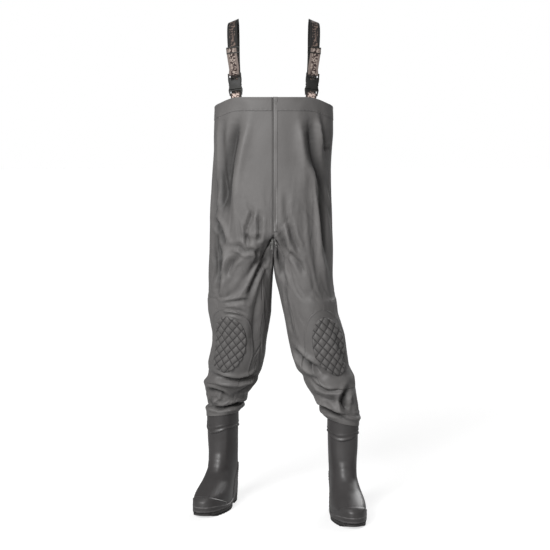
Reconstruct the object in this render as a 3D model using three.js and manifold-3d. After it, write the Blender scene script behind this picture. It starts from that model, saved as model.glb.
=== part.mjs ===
// Chest waders with bonded boots and buckled, adjustable suspenders.
// Millimetres, +Z up, front of the wearer towards -Y, wearer's left towards +X.
// The centre seam of the garment lies in the plane x = 0 until the last step, which centres
// the whole object over the origin with the boot soles on z = 0.

import * as THREE from 'three';
import { LoftGeometry } from 'three/addons/geometries/LoftGeometry.js';
import { mergeVertices } from 'three/addons/utils/BufferGeometryUtils.js';
import Module from 'manifold-3d';

const wasm = await Module();
wasm.setup();

// ---------------------------------------------------------------- driving dimensions

const FIT_GAP = 0.3; // between pieces that touch
const LAY_GAP = 0.8; // under a curved patch, so that its facets clear the facets below
const LINING_GAP = 1.4; // inside the torso, where flat facets bulge towards what lies on them

const BODY_LENGTH = 485; // fork to front hem
const FORK_HEIGHT = 750; // underside of the crotch above the floor
const FORK_BLEND = 50; // height over which the torso turns into two legs, each way
const BODY_HALF_WIDTH = 190; // widest point of the torso, at the hips
const BODY_HALF_DEPTH = 128;
const BODY_SQUARENESS = 2.3; // superellipse exponent, 2 is an ellipse
const HEM_GIRTH_SHARE = 0.89; // girth at the hem, as a share of the girth at the hips
const HEM_SIDE_DROP = 30;
const HEM_BACK_DROP = 43;
const SHELL = 2.4; // coated fabric with its lining
const SEAM_HALF_GAP = 0.15;

const HEM_BAND_HEIGHT = 39;
const BAND_THICKNESS = 1.3;
const TAPE_WIDTH = 16;
const TAPE_THICKNESS = 1;

const LEG_END = 335; // lower edge of the fabric panels
const LEG_EASE = 12; // how much wider than the boot shaft the leg ends
const KNEE_HEIGHT = 512;
const KNEE_PATCH_HEIGHT = 238;
const KNEE_PAD_HEIGHT = 176;
const PATCH_THICKNESS = 1.2;
const PAD_THICKNESS = 6;

const POCKET_WIDTH = 92;
const POCKET_HEIGHT = 104;
const POCKET_DROP = 62; // below the front hem
const POCKET_THICKNESS = 3;

const BOOT_LENGTH = 300;
const BOOT_HEEL_REACH = 94; // shaft axis to back of heel
const BOOT_BALL_HALF_WIDTH = 52;
const BOOT_HEEL_HALF_WIDTH = 38;
const BOOT_TOP = 285;
const SHAFT_HALF_WIDTH = 44;
const SHAFT_HALF_DEPTH = 57;
const ANKLE_HALF_WIDTH = 39;
const BOOT_WALL = 3;
const SOLE_THICKNESS = 14;
const HEEL_LIFT = 15; // the heel is this much thicker than the sole
const HEEL_BLOCK_LENGTH = 82;
const SOLE_MARGIN = 4; // welt that stands out round the upper
const CLEAT_DEPTH = 5;
const CLEAT_GROOVE = 7;
const CUFF_HEIGHT = 47;
const CUFF_THICKNESS = 2.2;
const INSOLE_THICKNESS = 5;
const TOE_CAP_HEIGHT = 46; // above the sole line
const COUNTER_HEIGHT = 88; // above the sole line

const WEBBING_WIDTH = 30;
const WEBBING_THICKNESS = 1.6;
const STRAP_FOOT_X = 111; // where the front straps leave the hem, out from the centre seam
const STRAP_LEAN_X = 13; // outward lean of the straight front run
const STRAP_LEAN_Y = 37; // backward lean of the straight front run
const STRAP_RUN_HEIGHT = 168; // height of the straight front run above the hem
const SHOULDER_RISE = 222; // top of the straps above the front hem
const SHOULDER_CANT = 24; // degrees, the strap slopes up towards the neck at the shoulder
const STRAP_TURN = 14; // degrees, the front run faces a little outwards, as the chest curves
const STRAP_INSET = 10; // the front run starts this far inside the hem's outer face
const ANCHOR_DEPTH = 45; // how far a strap end reaches down inside the hem
const ANCHOR_WIDTH = 44;
const ANCHOR_THICKNESS = 1;

const SLOT_CLEARANCE = 0.7; // webbing in a slot, each side
const BUCKLE_SIDE = 3.8; // material beside the webbing's slot
const BUCKLE_WIDTH = WEBBING_WIDTH + 2 * (SLOT_CLEARANCE + BUCKLE_SIDE);
const BUCKLE_THICKNESS = 11;
const INSERT_START = 21; // along the strap from the hem
const INSERT_LENGTH = 17;
const SOCKET_START = INSERT_START + INSERT_LENGTH + 0.5;
const SOCKET_LENGTH = 47.5;
const BUCKLE_WALL = 1.8;
const BUCKLE_BAR = 4;
const WEB_SLOT_HEIGHT = 8;
const WINDOW_WIDTH = 8;
const WINDOW_HEIGHT = 6;
const PRONG_LENGTH = 20;
const PRONG_WIDTH = 3.6;
const PRONG_PITCH = WEBBING_WIDTH / 2 - 2; // prong centre line out from the buckle's centre line
const PRONG_PROUD = 0.9; // how far a barb stands out of the buckle's side
const PRONG_BARB = BUCKLE_WIDTH / 2 + PRONG_PROUD - PRONG_PITCH - PRONG_WIDTH / 2;
const PRONG_ROOT_GAP = 0.6; // room for a prong's root to turn on the insert
const SLIDER_PLACE = 154; // along the strap from the hem
const SLIDER_HEIGHT = 20;
const SLIDER_RAIL = 3;
const SLIDER_BAR = 3.4;
const TAIL_END = 172; // free end of the doubled webbing, along the strap from the hem

const RING_OUTER_STEPS = 18; // facets round the outer side of a panel
const RING_INNER_STEPS = 5; // facets on its seam side

const HEM_FRONT = FORK_HEIGHT + BODY_LENGTH;

// Where each boot stands: shaft axis from the centre seam, and how far the toe turns out.
const STANCE = {
  left: { sign: 1, x: 206, y: -10, toeOut: 8 },
  right: { sign: -1, x: 155, y: 115, toeOut: 17 },
};

// Torso stations from the fork (0) to the hem (1): share of the half-width on each side.
const TORSO_WIDTH = {
  left: [[-0.2, 0.95], [0.15, 0.95], [0.38, 0.92], [0.58, 0.865], [0.76, 0.92], [1, 0.895]],
  right: [[-0.2, 1.03], [0.15, 1.03], [0.38, 1.015], [0.58, 0.97], [0.76, 0.92], [1, 0.895]],
};
const TORSO_DEPTH = [[-0.2, 0.9], [0.15, 1], [0.38, 1.02], [0.76, 1], [1, 0.975]];
const TORSO_ROWS = [0.24, 0.38, 0.58, 0.76, 0.88, 1];

// Leg stations from the lower edge (0) to the fork (1):
// centre out from the seam, centre depth, half-width, half-depth.
const LEG_PATH = {
  left: [
    [0.14, 170, -11, 71, 75], [0.22, 163, -12, 79, 79], [0.31, 145, -13, 79, 81],
    [0.39, 136, -14, 84, 84], [0.56, 126, -15, 85, 92], [0.73, 112, -12, 78, 102], [1, 94, -8, 86, 110],
  ],
  right: [
    [0.12, 134, 88, 75, 77], [0.22, 117, 68, 77, 80], [0.31, 114, 54, 85, 83],
    [0.39, 105, 45, 85, 86], [0.56, 98, 28, 81, 92], [0.73, 99, 15, 95, 100], [1, 101, 5, 97, 108],
  ],
};

// ---------------------------------------------------------------- finishes

const FINISHES = {
  fabric: { color: 0x6e6c6b, roughness: 0.85, metalness: 0 },
  patch: { color: 0x5f5d5c, roughness: 0.8, metalness: 0 },
  pad: { color: 0x565453, roughness: 0.85, metalness: 0 },
  tape: { color: 0x7a7876, roughness: 0.6, metalness: 0 },
  boot: { color: 0x4b4949, roughness: 0.5, metalness: 0 },
  sole: { color: 0x2a2a2a, roughness: 0.75, metalness: 0 },
  insole: { color: 0x8b8272, roughness: 0.9, metalness: 0 },
  webbing: { color: 0x2b2522, roughness: 0.9, metalness: 0 },
  buckle: { color: 0x1e1e1c, roughness: 0.4, metalness: 0 },
};

// ---------------------------------------------------------------- solids and meshes

const waders = new THREE.Group();

function addPiece(name, finish, geometry, parent = waders) {
  const mesh = new THREE.Mesh(geometry, new THREE.MeshStandardMaterial(FINISHES[finish]));
  mesh.name = name;
  parent.add(mesh);
  return mesh;
}

function solidOf(geometry) {
  const bare = new THREE.BufferGeometry();
  bare.setAttribute('position', geometry.getAttribute('position'));
  bare.setIndex(geometry.getIndex());
  const welded = mergeVertices(bare, 1e-4);
  const mesh = new wasm.Mesh({
    numProp: 3,
    vertProperties: new Float32Array(welded.getAttribute('position').array),
    triVerts: new Uint32Array(welded.getIndex().array),
  });
  return new wasm.Manifold(mesh);
}

function geometryOf(solid) {
  const mesh = solid.getMesh();
  const geometry = new THREE.BufferGeometry();
  geometry.setAttribute('position', new THREE.BufferAttribute(new Float32Array(mesh.vertProperties), 3));
  geometry.setIndex(new THREE.BufferAttribute(new Uint32Array(mesh.triVerts), 1));
  return geometry;
}

function boxSolid(width, depth, height, x, y, z) {
  return solidOf(new THREE.BoxGeometry(width, depth, height).translate(x, y, z));
}

function cappedLoft(sections) {
  return new LoftGeometry(sections, { capStart: true, capEnd: true });
}

/** Value of a column at a place along a list of stations, straight between them. */
function stationValue(stations, place, column = 1) {
  const last = stations.length - 1;
  if (place <= stations[0][0]) return stations[0][column];
  if (place >= stations[last][0]) return stations[last][column];
  const upper = stations.findIndex((station) => station[0] > place);
  const [low, high] = [stations[upper - 1], stations[upper]];
  return THREE.MathUtils.mapLinear(place, low[0], high[0], low[column], high[column]);
}

function superellipse(angle, halfWidth, halfDepth, squareness) {
  const bend = (value) => Math.sign(value) * Math.abs(value) ** (2 / squareness);
  return new THREE.Vector2(halfWidth * bend(Math.sin(angle)), -halfDepth * bend(Math.cos(angle)));
}

// ---------------------------------------------------------------- the garment's surface
//
// One half of the garment is a tube. A place on it has a height z and a turn from 0 at the
// front seam, round the outer side, to 1 at the back seam, and on to 2 along the seam side,
// which is flat in the torso and becomes the inside of the leg below the fork.

const LEG_OPENING = 45 * THREE.MathUtils.DEG2RAD; // how far the seam side wraps round a leg

function torsoPoint(side, z, turn) {
  const place = (z - FORK_HEIGHT) / BODY_LENGTH;
  const halfWidth = BODY_HALF_WIDTH * stationValue(TORSO_WIDTH[side], place);
  const halfDepth = BODY_HALF_DEPTH * stationValue(TORSO_DEPTH, place);
  if (turn <= 1) return superellipse(Math.PI * turn, halfWidth, halfDepth, BODY_SQUARENESS);
  return new THREE.Vector2(0, THREE.MathUtils.lerp(halfDepth, -halfDepth, turn - 1));
}

function legStations(side) {
  const boot = STANCE[side];
  const ankle = [
    0, boot.x - 14, boot.y - 6 * boot.sign, SHAFT_HALF_WIDTH + LEG_EASE + 4, SHAFT_HALF_DEPTH + LEG_EASE,
  ];
  return [ankle, ...LEG_PATH[side]];
}

function legPoint(side, z, turn) {
  const stations = legStations(side);
  const place = (z - LEG_END) / (FORK_HEIGHT - FORK_BLEND - LEG_END);
  const [x, y, halfWidth, halfDepth] = [1, 2, 3, 4].map((column) => stationValue(stations, place, column));
  const outerSweep = Math.PI + 2 * LEG_OPENING;
  const innerSweep = Math.PI - 2 * LEG_OPENING;
  const swept = turn <= 1 ? outerSweep * turn : outerSweep + innerSweep * (turn - 1);
  return superellipse(swept - LEG_OPENING, halfWidth, halfDepth, 2).add(new THREE.Vector2(x, y));
}

function torsoShare(z) {
  return THREE.MathUtils.smoothstep(z, FORK_HEIGHT - FORK_BLEND, FORK_HEIGHT + FORK_BLEND);
}

function ringPoint(side, z, turn) {
  const share = torsoShare(z);
  return legPoint(side, z, turn).lerp(torsoPoint(side, z, turn), share);
}

/** Height of the hem round the garment, front 0 to back 1. */
function hemHeight(turn) {
  const side = Math.sin(Math.PI * turn) ** 2;
  const back = THREE.MathUtils.smoothstep(turn, 0, 1);
  return HEM_FRONT - HEM_SIDE_DROP * side * (1 - back) - (HEM_SIDE_DROP * side + HEM_BACK_DROP * (1 - side)) * back;
}

/** A point of the garment, moved out of the fabric by offset; the sign mirrors it to its side. */
function garmentPoint(side, z, turn, offset = 0) {
  const here = ringPoint(side, z, turn);
  const step = 0.01;
  const before = ringPoint(side, z, Math.max(turn - step, 0));
  const after = ringPoint(side, z, Math.min(turn + step, 2));
  const along = after.sub(before).normalize();
  const sign = STANCE[side].sign;
  return new THREE.Vector3(sign * (here.x + along.y * offset), here.y - along.x * offset, z);
}

/** Height that the row at a nominal height has at one turn: rows near the top follow the hem. */
function rowHeight(nominal, turn) {
  const share = THREE.MathUtils.smoothstep(nominal, FORK_HEIGHT + FORK_BLEND, HEM_FRONT);
  const drop = HEM_FRONT - hemHeight(turn <= 1 ? turn : 2 - turn);
  return nominal - share * drop;
}

/** Sections have to run anticlockwise seen from above. */
function anticlockwise(side, points) {
  return STANCE[side].sign > 0 ? points : points.reverse();
}

/** Heights of the panel's rows: one at each station, and closer ones where the legs part. */
function panelRows(side) {
  const legHeight = FORK_HEIGHT - FORK_BLEND - LEG_END;
  const legs = legStations(side).map(([place]) => LEG_END + place * legHeight);
  const fork = [-0.5, 0, 0.5, 1].map((share) => FORK_HEIGHT + share * FORK_BLEND);
  const torso = TORSO_ROWS.map((place) => FORK_HEIGHT + place * BODY_LENGTH);
  return [...legs, ...fork, ...torso];
}

function panelTurns() {
  const turns = [];
  for (let i = 0; i < RING_OUTER_STEPS; i += 1) turns.push(i / RING_OUTER_STEPS);
  for (let i = 0; i < RING_INNER_STEPS; i += 1) turns.push(1 + i / RING_INNER_STEPS);
  return turns;
}

function outerSection(side, nominal, offset = 0) {
  const sign = STANCE[side].sign;
  const points = panelTurns().map((turn) => garmentPoint(side, rowHeight(nominal, turn), turn, offset));
  points.forEach((point, i) => {
    const inSeam = nominal >= FORK_HEIGHT && (i === 0 || i >= RING_OUTER_STEPS);
    point.x = sign * (inSeam ? SEAM_HALF_GAP : Math.max(sign * point.x, SEAM_HALF_GAP));
  });
  return anticlockwise(side, points);
}

/** The cavity crosses the seam plane above the fork, so that the two halves open into each other. */
function innerSection(side, nominal, rise = 0) {
  const sign = STANCE[side].sign;
  const aboveFork = nominal > FORK_HEIGHT + 1;
  const points = panelTurns().map((turn) => {
    const point = garmentPoint(side, rowHeight(nominal, turn), turn, -SHELL);
    const onSeam = turn === 0 || turn >= 1;
    if (onSeam && nominal >= FORK_HEIGHT) point.x = aboveFork ? -sign * SHELL : sign * SHELL;
    if (onSeam && turn <= 1) point.y = garmentPoint(side, point.z, turn, 0).y * (1 - SHELL / BODY_HALF_DEPTH);
    point.z += rise;
    return point;
  });
  return anticlockwise(side, points);
}

function garmentSolid(side, offset = 0) {
  return solidOf(cappedLoft(panelRows(side).map((row) => outerSection(side, row, offset))));
}

function panelGeometry(side) {
  const rows = panelRows(side);
  const outer = garmentSolid(side);
  const innerSections = rows.map((row, i) => innerSection(side, row, i === 0 ? -1 : 0));
  innerSections.push(innerSection(side, rows.at(-1), SHELL));
  const cavity = solidOf(cappedLoft(innerSections));
  return geometryOf(outer.subtract(cavity));
}

/**
 * A thin piece that lies on the garment: at each height it runs from one turn to another,
 * between two offsets from the surface.
 */
function layer(side, rows, spanAt, steps, low, high, heightAt = (row) => row) {
  const sections = rows.map((row) => {
    const [start, end] = spanAt(row);
    const turns = Array.from({ length: steps + 1 }, (_, i) => THREE.MathUtils.lerp(start, end, i / steps));
    const outside = turns.map((turn) => garmentPoint(side, heightAt(row, turn), turn, high));
    const inside = turns.reverse().map((turn) => garmentPoint(side, heightAt(row, turn), turn, low));
    return anticlockwise(side, [...outside, ...inside]);
  });
  return cappedLoft(sections);
}

function evenly(low, high, steps) {
  return Array.from({ length: steps + 1 }, (_, i) => THREE.MathUtils.lerp(low, high, i / steps));
}

/** The panel's own rows between two heights, with the two heights and those in between. */
function rowsBetween(side, low, high, extra = []) {
  const inside = [...panelRows(side), ...extra].filter((row) => row > low + 2 && row < high - 2);
  return [low, ...inside.sort((a, b) => a - b), high];
}

// ---------------------------------------------------------------- body pieces

function addPanels() {
  for (const side of ['left', 'right']) addPiece(`${side}_panel`, 'fabric', panelGeometry(side));
}

function addHemBands() {
  const rows = evenly(HEM_FRONT - HEM_BAND_HEIGHT, HEM_FRONT, 2);
  const bandTop = LAY_GAP + BAND_THICKNESS;
  for (const side of ['left', 'right']) {
    const edge = turnAtX(side, HEM_FRONT, TAPE_WIDTH / 2 + LAY_GAP);
    const band = layer(side, rows, () => [edge, 1 - edge], RING_OUTER_STEPS + 6, LAY_GAP, bandTop, rowHeight);
    addPiece(`${side}_hem_band`, 'fabric', band);
  }
}

/** A straight tape over the centre seam, on the front (direction -1) or the back (1). */
function addSeamTape(name, direction, hem) {
  const seamEnd = FORK_HEIGHT + FORK_BLEND;
  const rows = rowsBetween('left', seamEnd, hem);
  const sections = rows.map((z) => {
    const face = direction * Math.abs(torsoPoint('left', z, 0).y);
    const inside = face + direction * LAY_GAP;
    const outside = inside + direction * TAPE_THICKNESS;
    const half = TAPE_WIDTH / 2;
    const corners = [[-half, outside], [half, outside], [half, inside], [-half, inside]];
    if (direction > 0) corners.reverse();
    return corners.map(([x, y]) => new THREE.Vector3(x, y, z));
  });
  addPiece(name, 'tape', cappedLoft(sections));
}

/** An arch: straight sides and a round top. */
function archSpan(bottom, height, centre, halfSpan) {
  return (z) => {
    const rise = THREE.MathUtils.clamp((z - bottom) / height, 0, 1);
    const share = Math.sqrt(Math.max(1 - (Math.max(rise - 0.55, 0) / 0.45) ** 2, 0.02));
    return [centre - halfSpan * share, centre + halfSpan * share];
  };
}

/** An upright oval. */
function ovalSpan(bottom, height, centre, halfSpan) {
  return (z) => {
    const rise = THREE.MathUtils.clamp((z - bottom) / height, 0, 1) * 2 - 1;
    const share = Math.max((1 - Math.abs(rise) ** 3) ** (1 / 3), 0.3);
    return [centre - halfSpan * share, centre + halfSpan * share];
  };
}

function addKnees() {
  // Turn of the patch's centre line: the knees point a little outwards.
  const centres = { left: 0.26, right: 0.25 };
  const patchHalfSpan = 0.2;
  const padHalfSpan = 0.135;
  for (const side of ['left', 'right']) {
    const patchBottom = KNEE_HEIGHT - KNEE_PATCH_HEIGHT * 0.54;
    const patchEnd = patchBottom + KNEE_PATCH_HEIGHT;
    const patchRows = rowsBetween(side, patchBottom, patchEnd, evenly(patchEnd - 100, patchEnd, 4));
    const patchTop = LAY_GAP + PATCH_THICKNESS;
    const patchSpan = archSpan(patchBottom, KNEE_PATCH_HEIGHT, centres[side], patchHalfSpan);
    const patch = solidOf(layer(side, patchRows, patchSpan, 7, -SHELL / 2, patchTop));
    addPiece(`${side}_knee_patch`, 'patch', geometryOf(patch.subtract(garmentSolid(side, FIT_GAP))));
    const padBottom = KNEE_HEIGHT - KNEE_PAD_HEIGHT / 2;
    const padEnd = padBottom + KNEE_PAD_HEIGHT;
    const padRows = rowsBetween(side, padBottom, padEnd, [padBottom + 12, padBottom + 32, padEnd - 32, padEnd - 12]);
    const padSpan = ovalSpan(padBottom, KNEE_PAD_HEIGHT, centres[side], padHalfSpan);
    const padLow = patchTop + 1.7 * LAY_GAP;
    addPiece(`${side}_knee_pad`, 'pad', layer(side, padRows, padSpan, 8, padLow, padLow + PAD_THICKNESS));
  }
}

/** Turn round the left half at which the torso is this far out from the seam. */
function turnAtX(side, z, x) {
  let [low, high] = [0, 0.5];
  for (let i = 0; i < 30; i += 1) {
    const middle = (low + high) / 2;
    if (torsoPoint(side, z, middle).x < x) low = middle;
    else high = middle;
  }
  return low;
}

function addChestPocket() {
  const top = HEM_FRONT - POCKET_DROP;
  const rows = evenly(top - POCKET_HEIGHT, top, 3);
  const start = turnAtX('left', top, TAPE_WIDTH / 2 + 4);
  const end = turnAtX('left', top, TAPE_WIDTH / 2 + 4 + POCKET_WIDTH);
  const high = -SHELL - LINING_GAP;
  addPiece('chest_pocket', 'patch', layer('left', rows, () => [start, end], 8, high - POCKET_THICKNESS, high));
}

function addBody() {
  addPanels();
  addHemBands();
  addSeamTape('front_seam_tape', -1, HEM_FRONT);
  addSeamTape('back_seam_tape', 1, HEM_FRONT - HEM_BACK_DROP);
  addKnees();
  addChestPocket();
}

// ---------------------------------------------------------------- boots
//
// A boot is modelled about its shaft axis, toe towards -Y, and then turned and placed.

const TOE_REACH = BOOT_LENGTH - BOOT_HEEL_REACH;

// Side view of the upper: height above the sole line, reach forwards and backwards.
function bootProfile() {
  const front = SHAFT_HALF_DEPTH;
  const heel = BOOT_HEEL_REACH;
  return [
    [0, TOE_REACH - SOLE_MARGIN, heel - SOLE_MARGIN],
    [16, TOE_REACH - 2, heel - 1],
    [34, TOE_REACH - 4, heel],
    [46, TOE_REACH - 18, heel - 1],
    [57, TOE_REACH - 45, heel - 3],
    [74, TOE_REACH - 85, heel - 6],
    [98, front + 26, heel - 13],
    [124, front + 9, heel - 22],
    [152, front, heel - 28],
    [190, front - 1, front + 4],
    [BOOT_TOP - SOLE_THICKNESS, front, front],
  ];
}

function bootHalfWidth(height, y) {
  const forward = THREE.MathUtils.smoothstep(-y, -30, 100);
  const foot = THREE.MathUtils.lerp(BOOT_HEEL_HALF_WIDTH, BOOT_BALL_HALF_WIDTH, forward);
  const shaft = THREE.MathUtils.lerp(ANKLE_HALF_WIDTH, SHAFT_HALF_WIDTH, THREE.MathUtils.smoothstep(height, 90, 220));
  const rise = THREE.MathUtils.smoothstep(height, 30, 110);
  return THREE.MathUtils.lerp(foot, shaft, rise);
}

/** The heel stands on a thicker block, so the low part of the upper climbs towards the back. */
function heelLift(y, height) {
  const back = THREE.MathUtils.smoothstep(y, -95, 10);
  return HEEL_LIFT * back * (1 - THREE.MathUtils.smoothstep(height, 40, 150));
}

/** A point of the boot's outline; angle 0 is the toe, a quarter turn the outer side. */
function bootPoint(height, angle, offset = 0) {
  const profile = bootProfile();
  const front = stationValue(profile, height, 1);
  const back = stationValue(profile, height, 2);
  const halfLength = (front + back) / 2;
  const y = superellipse(angle, 1, halfLength, 2.15).y + (back - front) / 2;
  const halfWidth = bootHalfWidth(height, y) * Math.sign(Math.sin(angle)) * Math.abs(Math.sin(angle)) ** (2 / 2.3);
  const outward = new THREE.Vector2(Math.sin(angle), -Math.cos(angle)).multiplyScalar(offset);
  const lifted = SOLE_THICKNESS + height + heelLift(y, height);
  return new THREE.Vector3(halfWidth + outward.x, y + outward.y, lifted);
}

function bootRing(height, steps, offset, rise = 0) {
  return Array.from({ length: steps }, (_, i) => {
    const point = bootPoint(height, (2 * Math.PI * i) / steps, offset);
    point.z += rise;
    return point;
  });
}

const BOOT_STEPS = 20;

function upperOuterSolid(rise = 0, offset = 0) {
  const heights = bootProfile().map((station) => station[0]);
  return solidOf(cappedLoft(heights.map((height) => bootRing(height, BOOT_STEPS, offset, rise))));
}

function upperSolid() {
  const heights = bootProfile().map((station) => station[0]);
  const innerRings = heights.map((height, i) => bootRing(height, BOOT_STEPS, -BOOT_WALL, i === 0 ? BOOT_WALL : 0));
  innerRings.push(bootRing(heights.at(-1), BOOT_STEPS, -BOOT_WALL, BOOT_WALL));
  const cavity = solidOf(cappedLoft(innerRings));
  return upperOuterSolid().subtract(cavity);
}

/** Outline of the sole: half-width at a place along the boot. */
function soleHalfWidth(y) {
  const middle = (BOOT_HEEL_REACH - TOE_REACH) / 2;
  const share = Math.min(Math.abs((y - middle) / (BOOT_LENGTH / 2)), 1);
  const round = Math.sqrt(Math.max(1 - share ** 6, 0));
  const forward = THREE.MathUtils.smoothstep(-y, -30, 100);
  const waist = 5 * Math.exp(-(((y + 15) / 38) ** 2));
  return (THREE.MathUtils.lerp(BOOT_HEEL_HALF_WIDTH, BOOT_BALL_HALF_WIDTH, forward) - waist) * round;
}

function outsoleGeometry() {
  const heelBreast = BOOT_HEEL_REACH - HEEL_BLOCK_LENGTH;
  const arch = SOLE_THICKNESS * 0.55;
  const places = [
    ...evenly(-TOE_REACH + 0.5, -TOE_REACH + 36, 5), ...evenly(-TOE_REACH + 60, heelBreast - 46, 5),
    ...evenly(heelBreast - 36, heelBreast - 2, 2), ...evenly(heelBreast, BOOT_HEEL_REACH - 26, 3),
    ...evenly(BOOT_HEEL_REACH - 20, BOOT_HEEL_REACH - 0.5, 4),
  ];
  const sections = places.map((y) => {
    const half = soleHalfWidth(y) + SOLE_MARGIN / 2;
    const top = SOLE_THICKNESS + heelLift(y, 0) - FIT_GAP;
    const inWaist = y > heelBreast - 40 && y < heelBreast - 1;
    const toeSpring = 6 * THREE.MathUtils.smoothstep(-y, TOE_REACH - 45, TOE_REACH);
    const bottom = inWaist ? arch : toeSpring;
    return [[half, bottom], [-half, bottom], [-half, top], [half, top]]
      .map(([x, z]) => new THREE.Vector3(x, y, z));
  });
  let solid = solidOf(cappedLoft(sections));
  const grooves = [
    ...evenly(-TOE_REACH + 52, heelBreast - 58, 5), ...evenly(heelBreast + 17, BOOT_HEEL_REACH - 17, 2),
  ];
  for (const y of grooves) {
    solid = solid.subtract(boxSolid(4 * BOOT_BALL_HALF_WIDTH, CLEAT_GROOVE, 2 * CLEAT_DEPTH, 0, y, 0));
  }
  return geometryOf(solid.subtract(upperOuterSolid(-FIT_GAP)));
}

/** A piece moulded over the upper, between two heights and over a range of angles. */
function bootSkin(low, high, spanAt, steps, thickness) {
  const between = bootProfile().map(([height]) => height).filter((height) => height > low && height < high);
  const sections = [low, ...between, high].map((height) => {
    const [start, end] = spanAt(height);
    const angles = evenly(start, end, steps);
    const outside = angles.map((angle) => bootPoint(height, angle, FIT_GAP + thickness));
    const inside = angles.reverse().map((angle) => bootPoint(height, angle, -1));
    return [...outside, ...inside];
  });
  return geometryOf(solidOf(cappedLoft(sections)).subtract(upperOuterSolid(0, FIT_GAP)));
}

/** A closed band round the shaft. */
function cuffGeometry() {
  const top = BOOT_TOP - SOLE_THICKNESS;
  const heights = [top - CUFF_HEIGHT, top];
  const outer = solidOf(cappedLoft(heights.map((height) => bootRing(height, BOOT_STEPS, FIT_GAP + CUFF_THICKNESS))));
  const hole = heights.map((height, i) => bootRing(height, BOOT_STEPS, FIT_GAP, i === 0 ? -1 : 1));
  return geometryOf(outer.subtract(solidOf(cappedLoft(hole))));
}

/** The insole lies in the cavity, and its underside is trimmed to the upper's floor. */
function insoleGeometry() {
  const inset = -BOOT_WALL - 2 * FIT_GAP;
  const rings = [0, INSOLE_THICKNESS].map((rise) => bootRing(0, BOOT_STEPS, inset, BOOT_WALL + rise));
  const upperAbove = solidOf(geometryOf(upperSolid()).translate(0, 0, FIT_GAP));
  return geometryOf(solidOf(cappedLoft(rings)).subtract(upperAbove));
}

/** Fabric gathered over the boot: it joins the leg's lower edge to the top of the boot. */
function ankleGeometry(side) {
  const boot = STANCE[side];
  const heights = [BOOT_TOP + FIT_GAP, (BOOT_TOP + LEG_END) / 2, LEG_END - FIT_GAP];
  const ring = (z, offset, rise) => {
    const share = (z - BOOT_TOP) / (LEG_END - BOOT_TOP);
    const low = { x: boot.x, y: boot.y, a: SHAFT_HALF_WIDTH + CUFF_THICKNESS, b: SHAFT_HALF_DEPTH + CUFF_THICKNESS };
    const [, x, y, a, b] = legStations(side)[0];
    const bulge = 5 * Math.sin(Math.PI * share);
    return Array.from({ length: BOOT_STEPS }, (_, i) => {
      const point = superellipse((2 * Math.PI * i) / BOOT_STEPS, 1, 1, 2);
      const halfWidth = THREE.MathUtils.lerp(low.a, a, share) + bulge + offset;
      const halfDepth = THREE.MathUtils.lerp(low.b, b, share) + bulge + offset;
      const centreX = THREE.MathUtils.lerp(low.x, x, share) * boot.sign;
      const centreY = THREE.MathUtils.lerp(low.y, y, share);
      return new THREE.Vector3(centreX + halfWidth * point.x, centreY + halfDepth * point.y, z + rise);
    });
  };
  const outer = solidOf(cappedLoft(heights.map((z) => ring(z, 0, 0))));
  const cavity = solidOf(cappedLoft(heights.map((z, i) => ring(z, -SHELL, i - 1))));
  return geometryOf(outer.subtract(cavity));
}

function addBoot(side) {
  const { sign, x, y, toeOut } = STANCE[side];
  const boot = new THREE.Group();
  boot.position.set(sign * x, y, 0);
  boot.rotation.z = THREE.MathUtils.degToRad(sign * toeOut);
  waders.add(boot);
  addPiece(`${side}_boot_upper`, 'boot', geometryOf(upperSolid()), boot);
  addPiece(`${side}_outsole`, 'sole', outsoleGeometry(), boot);
  addPiece(`${side}_insole`, 'insole', insoleGeometry(), boot);
  const toeSpan = () => [-0.62, 0.62];
  const heelSpan = (height) => {
    const half = 1.1 - 0.35 * (height / COUNTER_HEIGHT);
    return [Math.PI - half, Math.PI + half];
  };
  addPiece(`${side}_toe_cap`, 'boot', bootSkin(3, TOE_CAP_HEIGHT, toeSpan, 8, PATCH_THICKNESS), boot);
  addPiece(`${side}_heel_counter`, 'boot', bootSkin(3, COUNTER_HEIGHT, heelSpan, 6, PATCH_THICKNESS), boot);
  addPiece(`${side}_boot_cuff`, 'boot', cuffGeometry(), boot);
  addPiece(`${side}_ankle_fabric`, 'fabric', ankleGeometry(side));
}

// ---------------------------------------------------------------- suspenders
//
// The front run of each strap is straight, from the hem to near the shoulder. Its own frame
// has z up the strap, x across the webbing and -y out of its face; z = 0 is at the hem.

function strapGroup(side) {
  const { sign } = STANCE[side];
  const hemTurn = turnAtX(side, HEM_FRONT, STRAP_FOOT_X);
  const foot = garmentPoint(side, rowHeight(HEM_FRONT, hemTurn), hemTurn, -STRAP_INSET);
  const up = new THREE.Vector3(sign * STRAP_LEAN_X, STRAP_LEAN_Y, STRAP_RUN_HEIGHT).normalize();
  const turned = THREE.MathUtils.degToRad(sign * STRAP_TURN);
  const level = new THREE.Vector3(Math.cos(turned), Math.sin(turned), 0);
  const back = new THREE.Vector3().crossVectors(up, level).normalize();
  const across = new THREE.Vector3().crossVectors(back, up);
  const group = new THREE.Group();
  group.matrixAutoUpdate = false;
  group.matrix.makeBasis(across, back, up).setPosition(foot.x, foot.y, foot.z);
  waders.add(group);
  return group;
}

/** Flat webbing along a list of places, each with its point, width direction and face direction. */
function webbing(places, strips = 1) {
  const edges = evenly(1, -1, strips);
  const sections = places.map(({ point, across, face }) => {
    const corner = (u, v) => point.clone().addScaledVector(across, (u * WEBBING_WIDTH) / 2)
      .addScaledVector(face, (v * WEBBING_THICKNESS) / 2);
    return [...edges.map((u) => corner(u, 1)), ...edges.map((u) => corner(-u, -1))];
  });
  return cappedLoft(sections);
}

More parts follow.
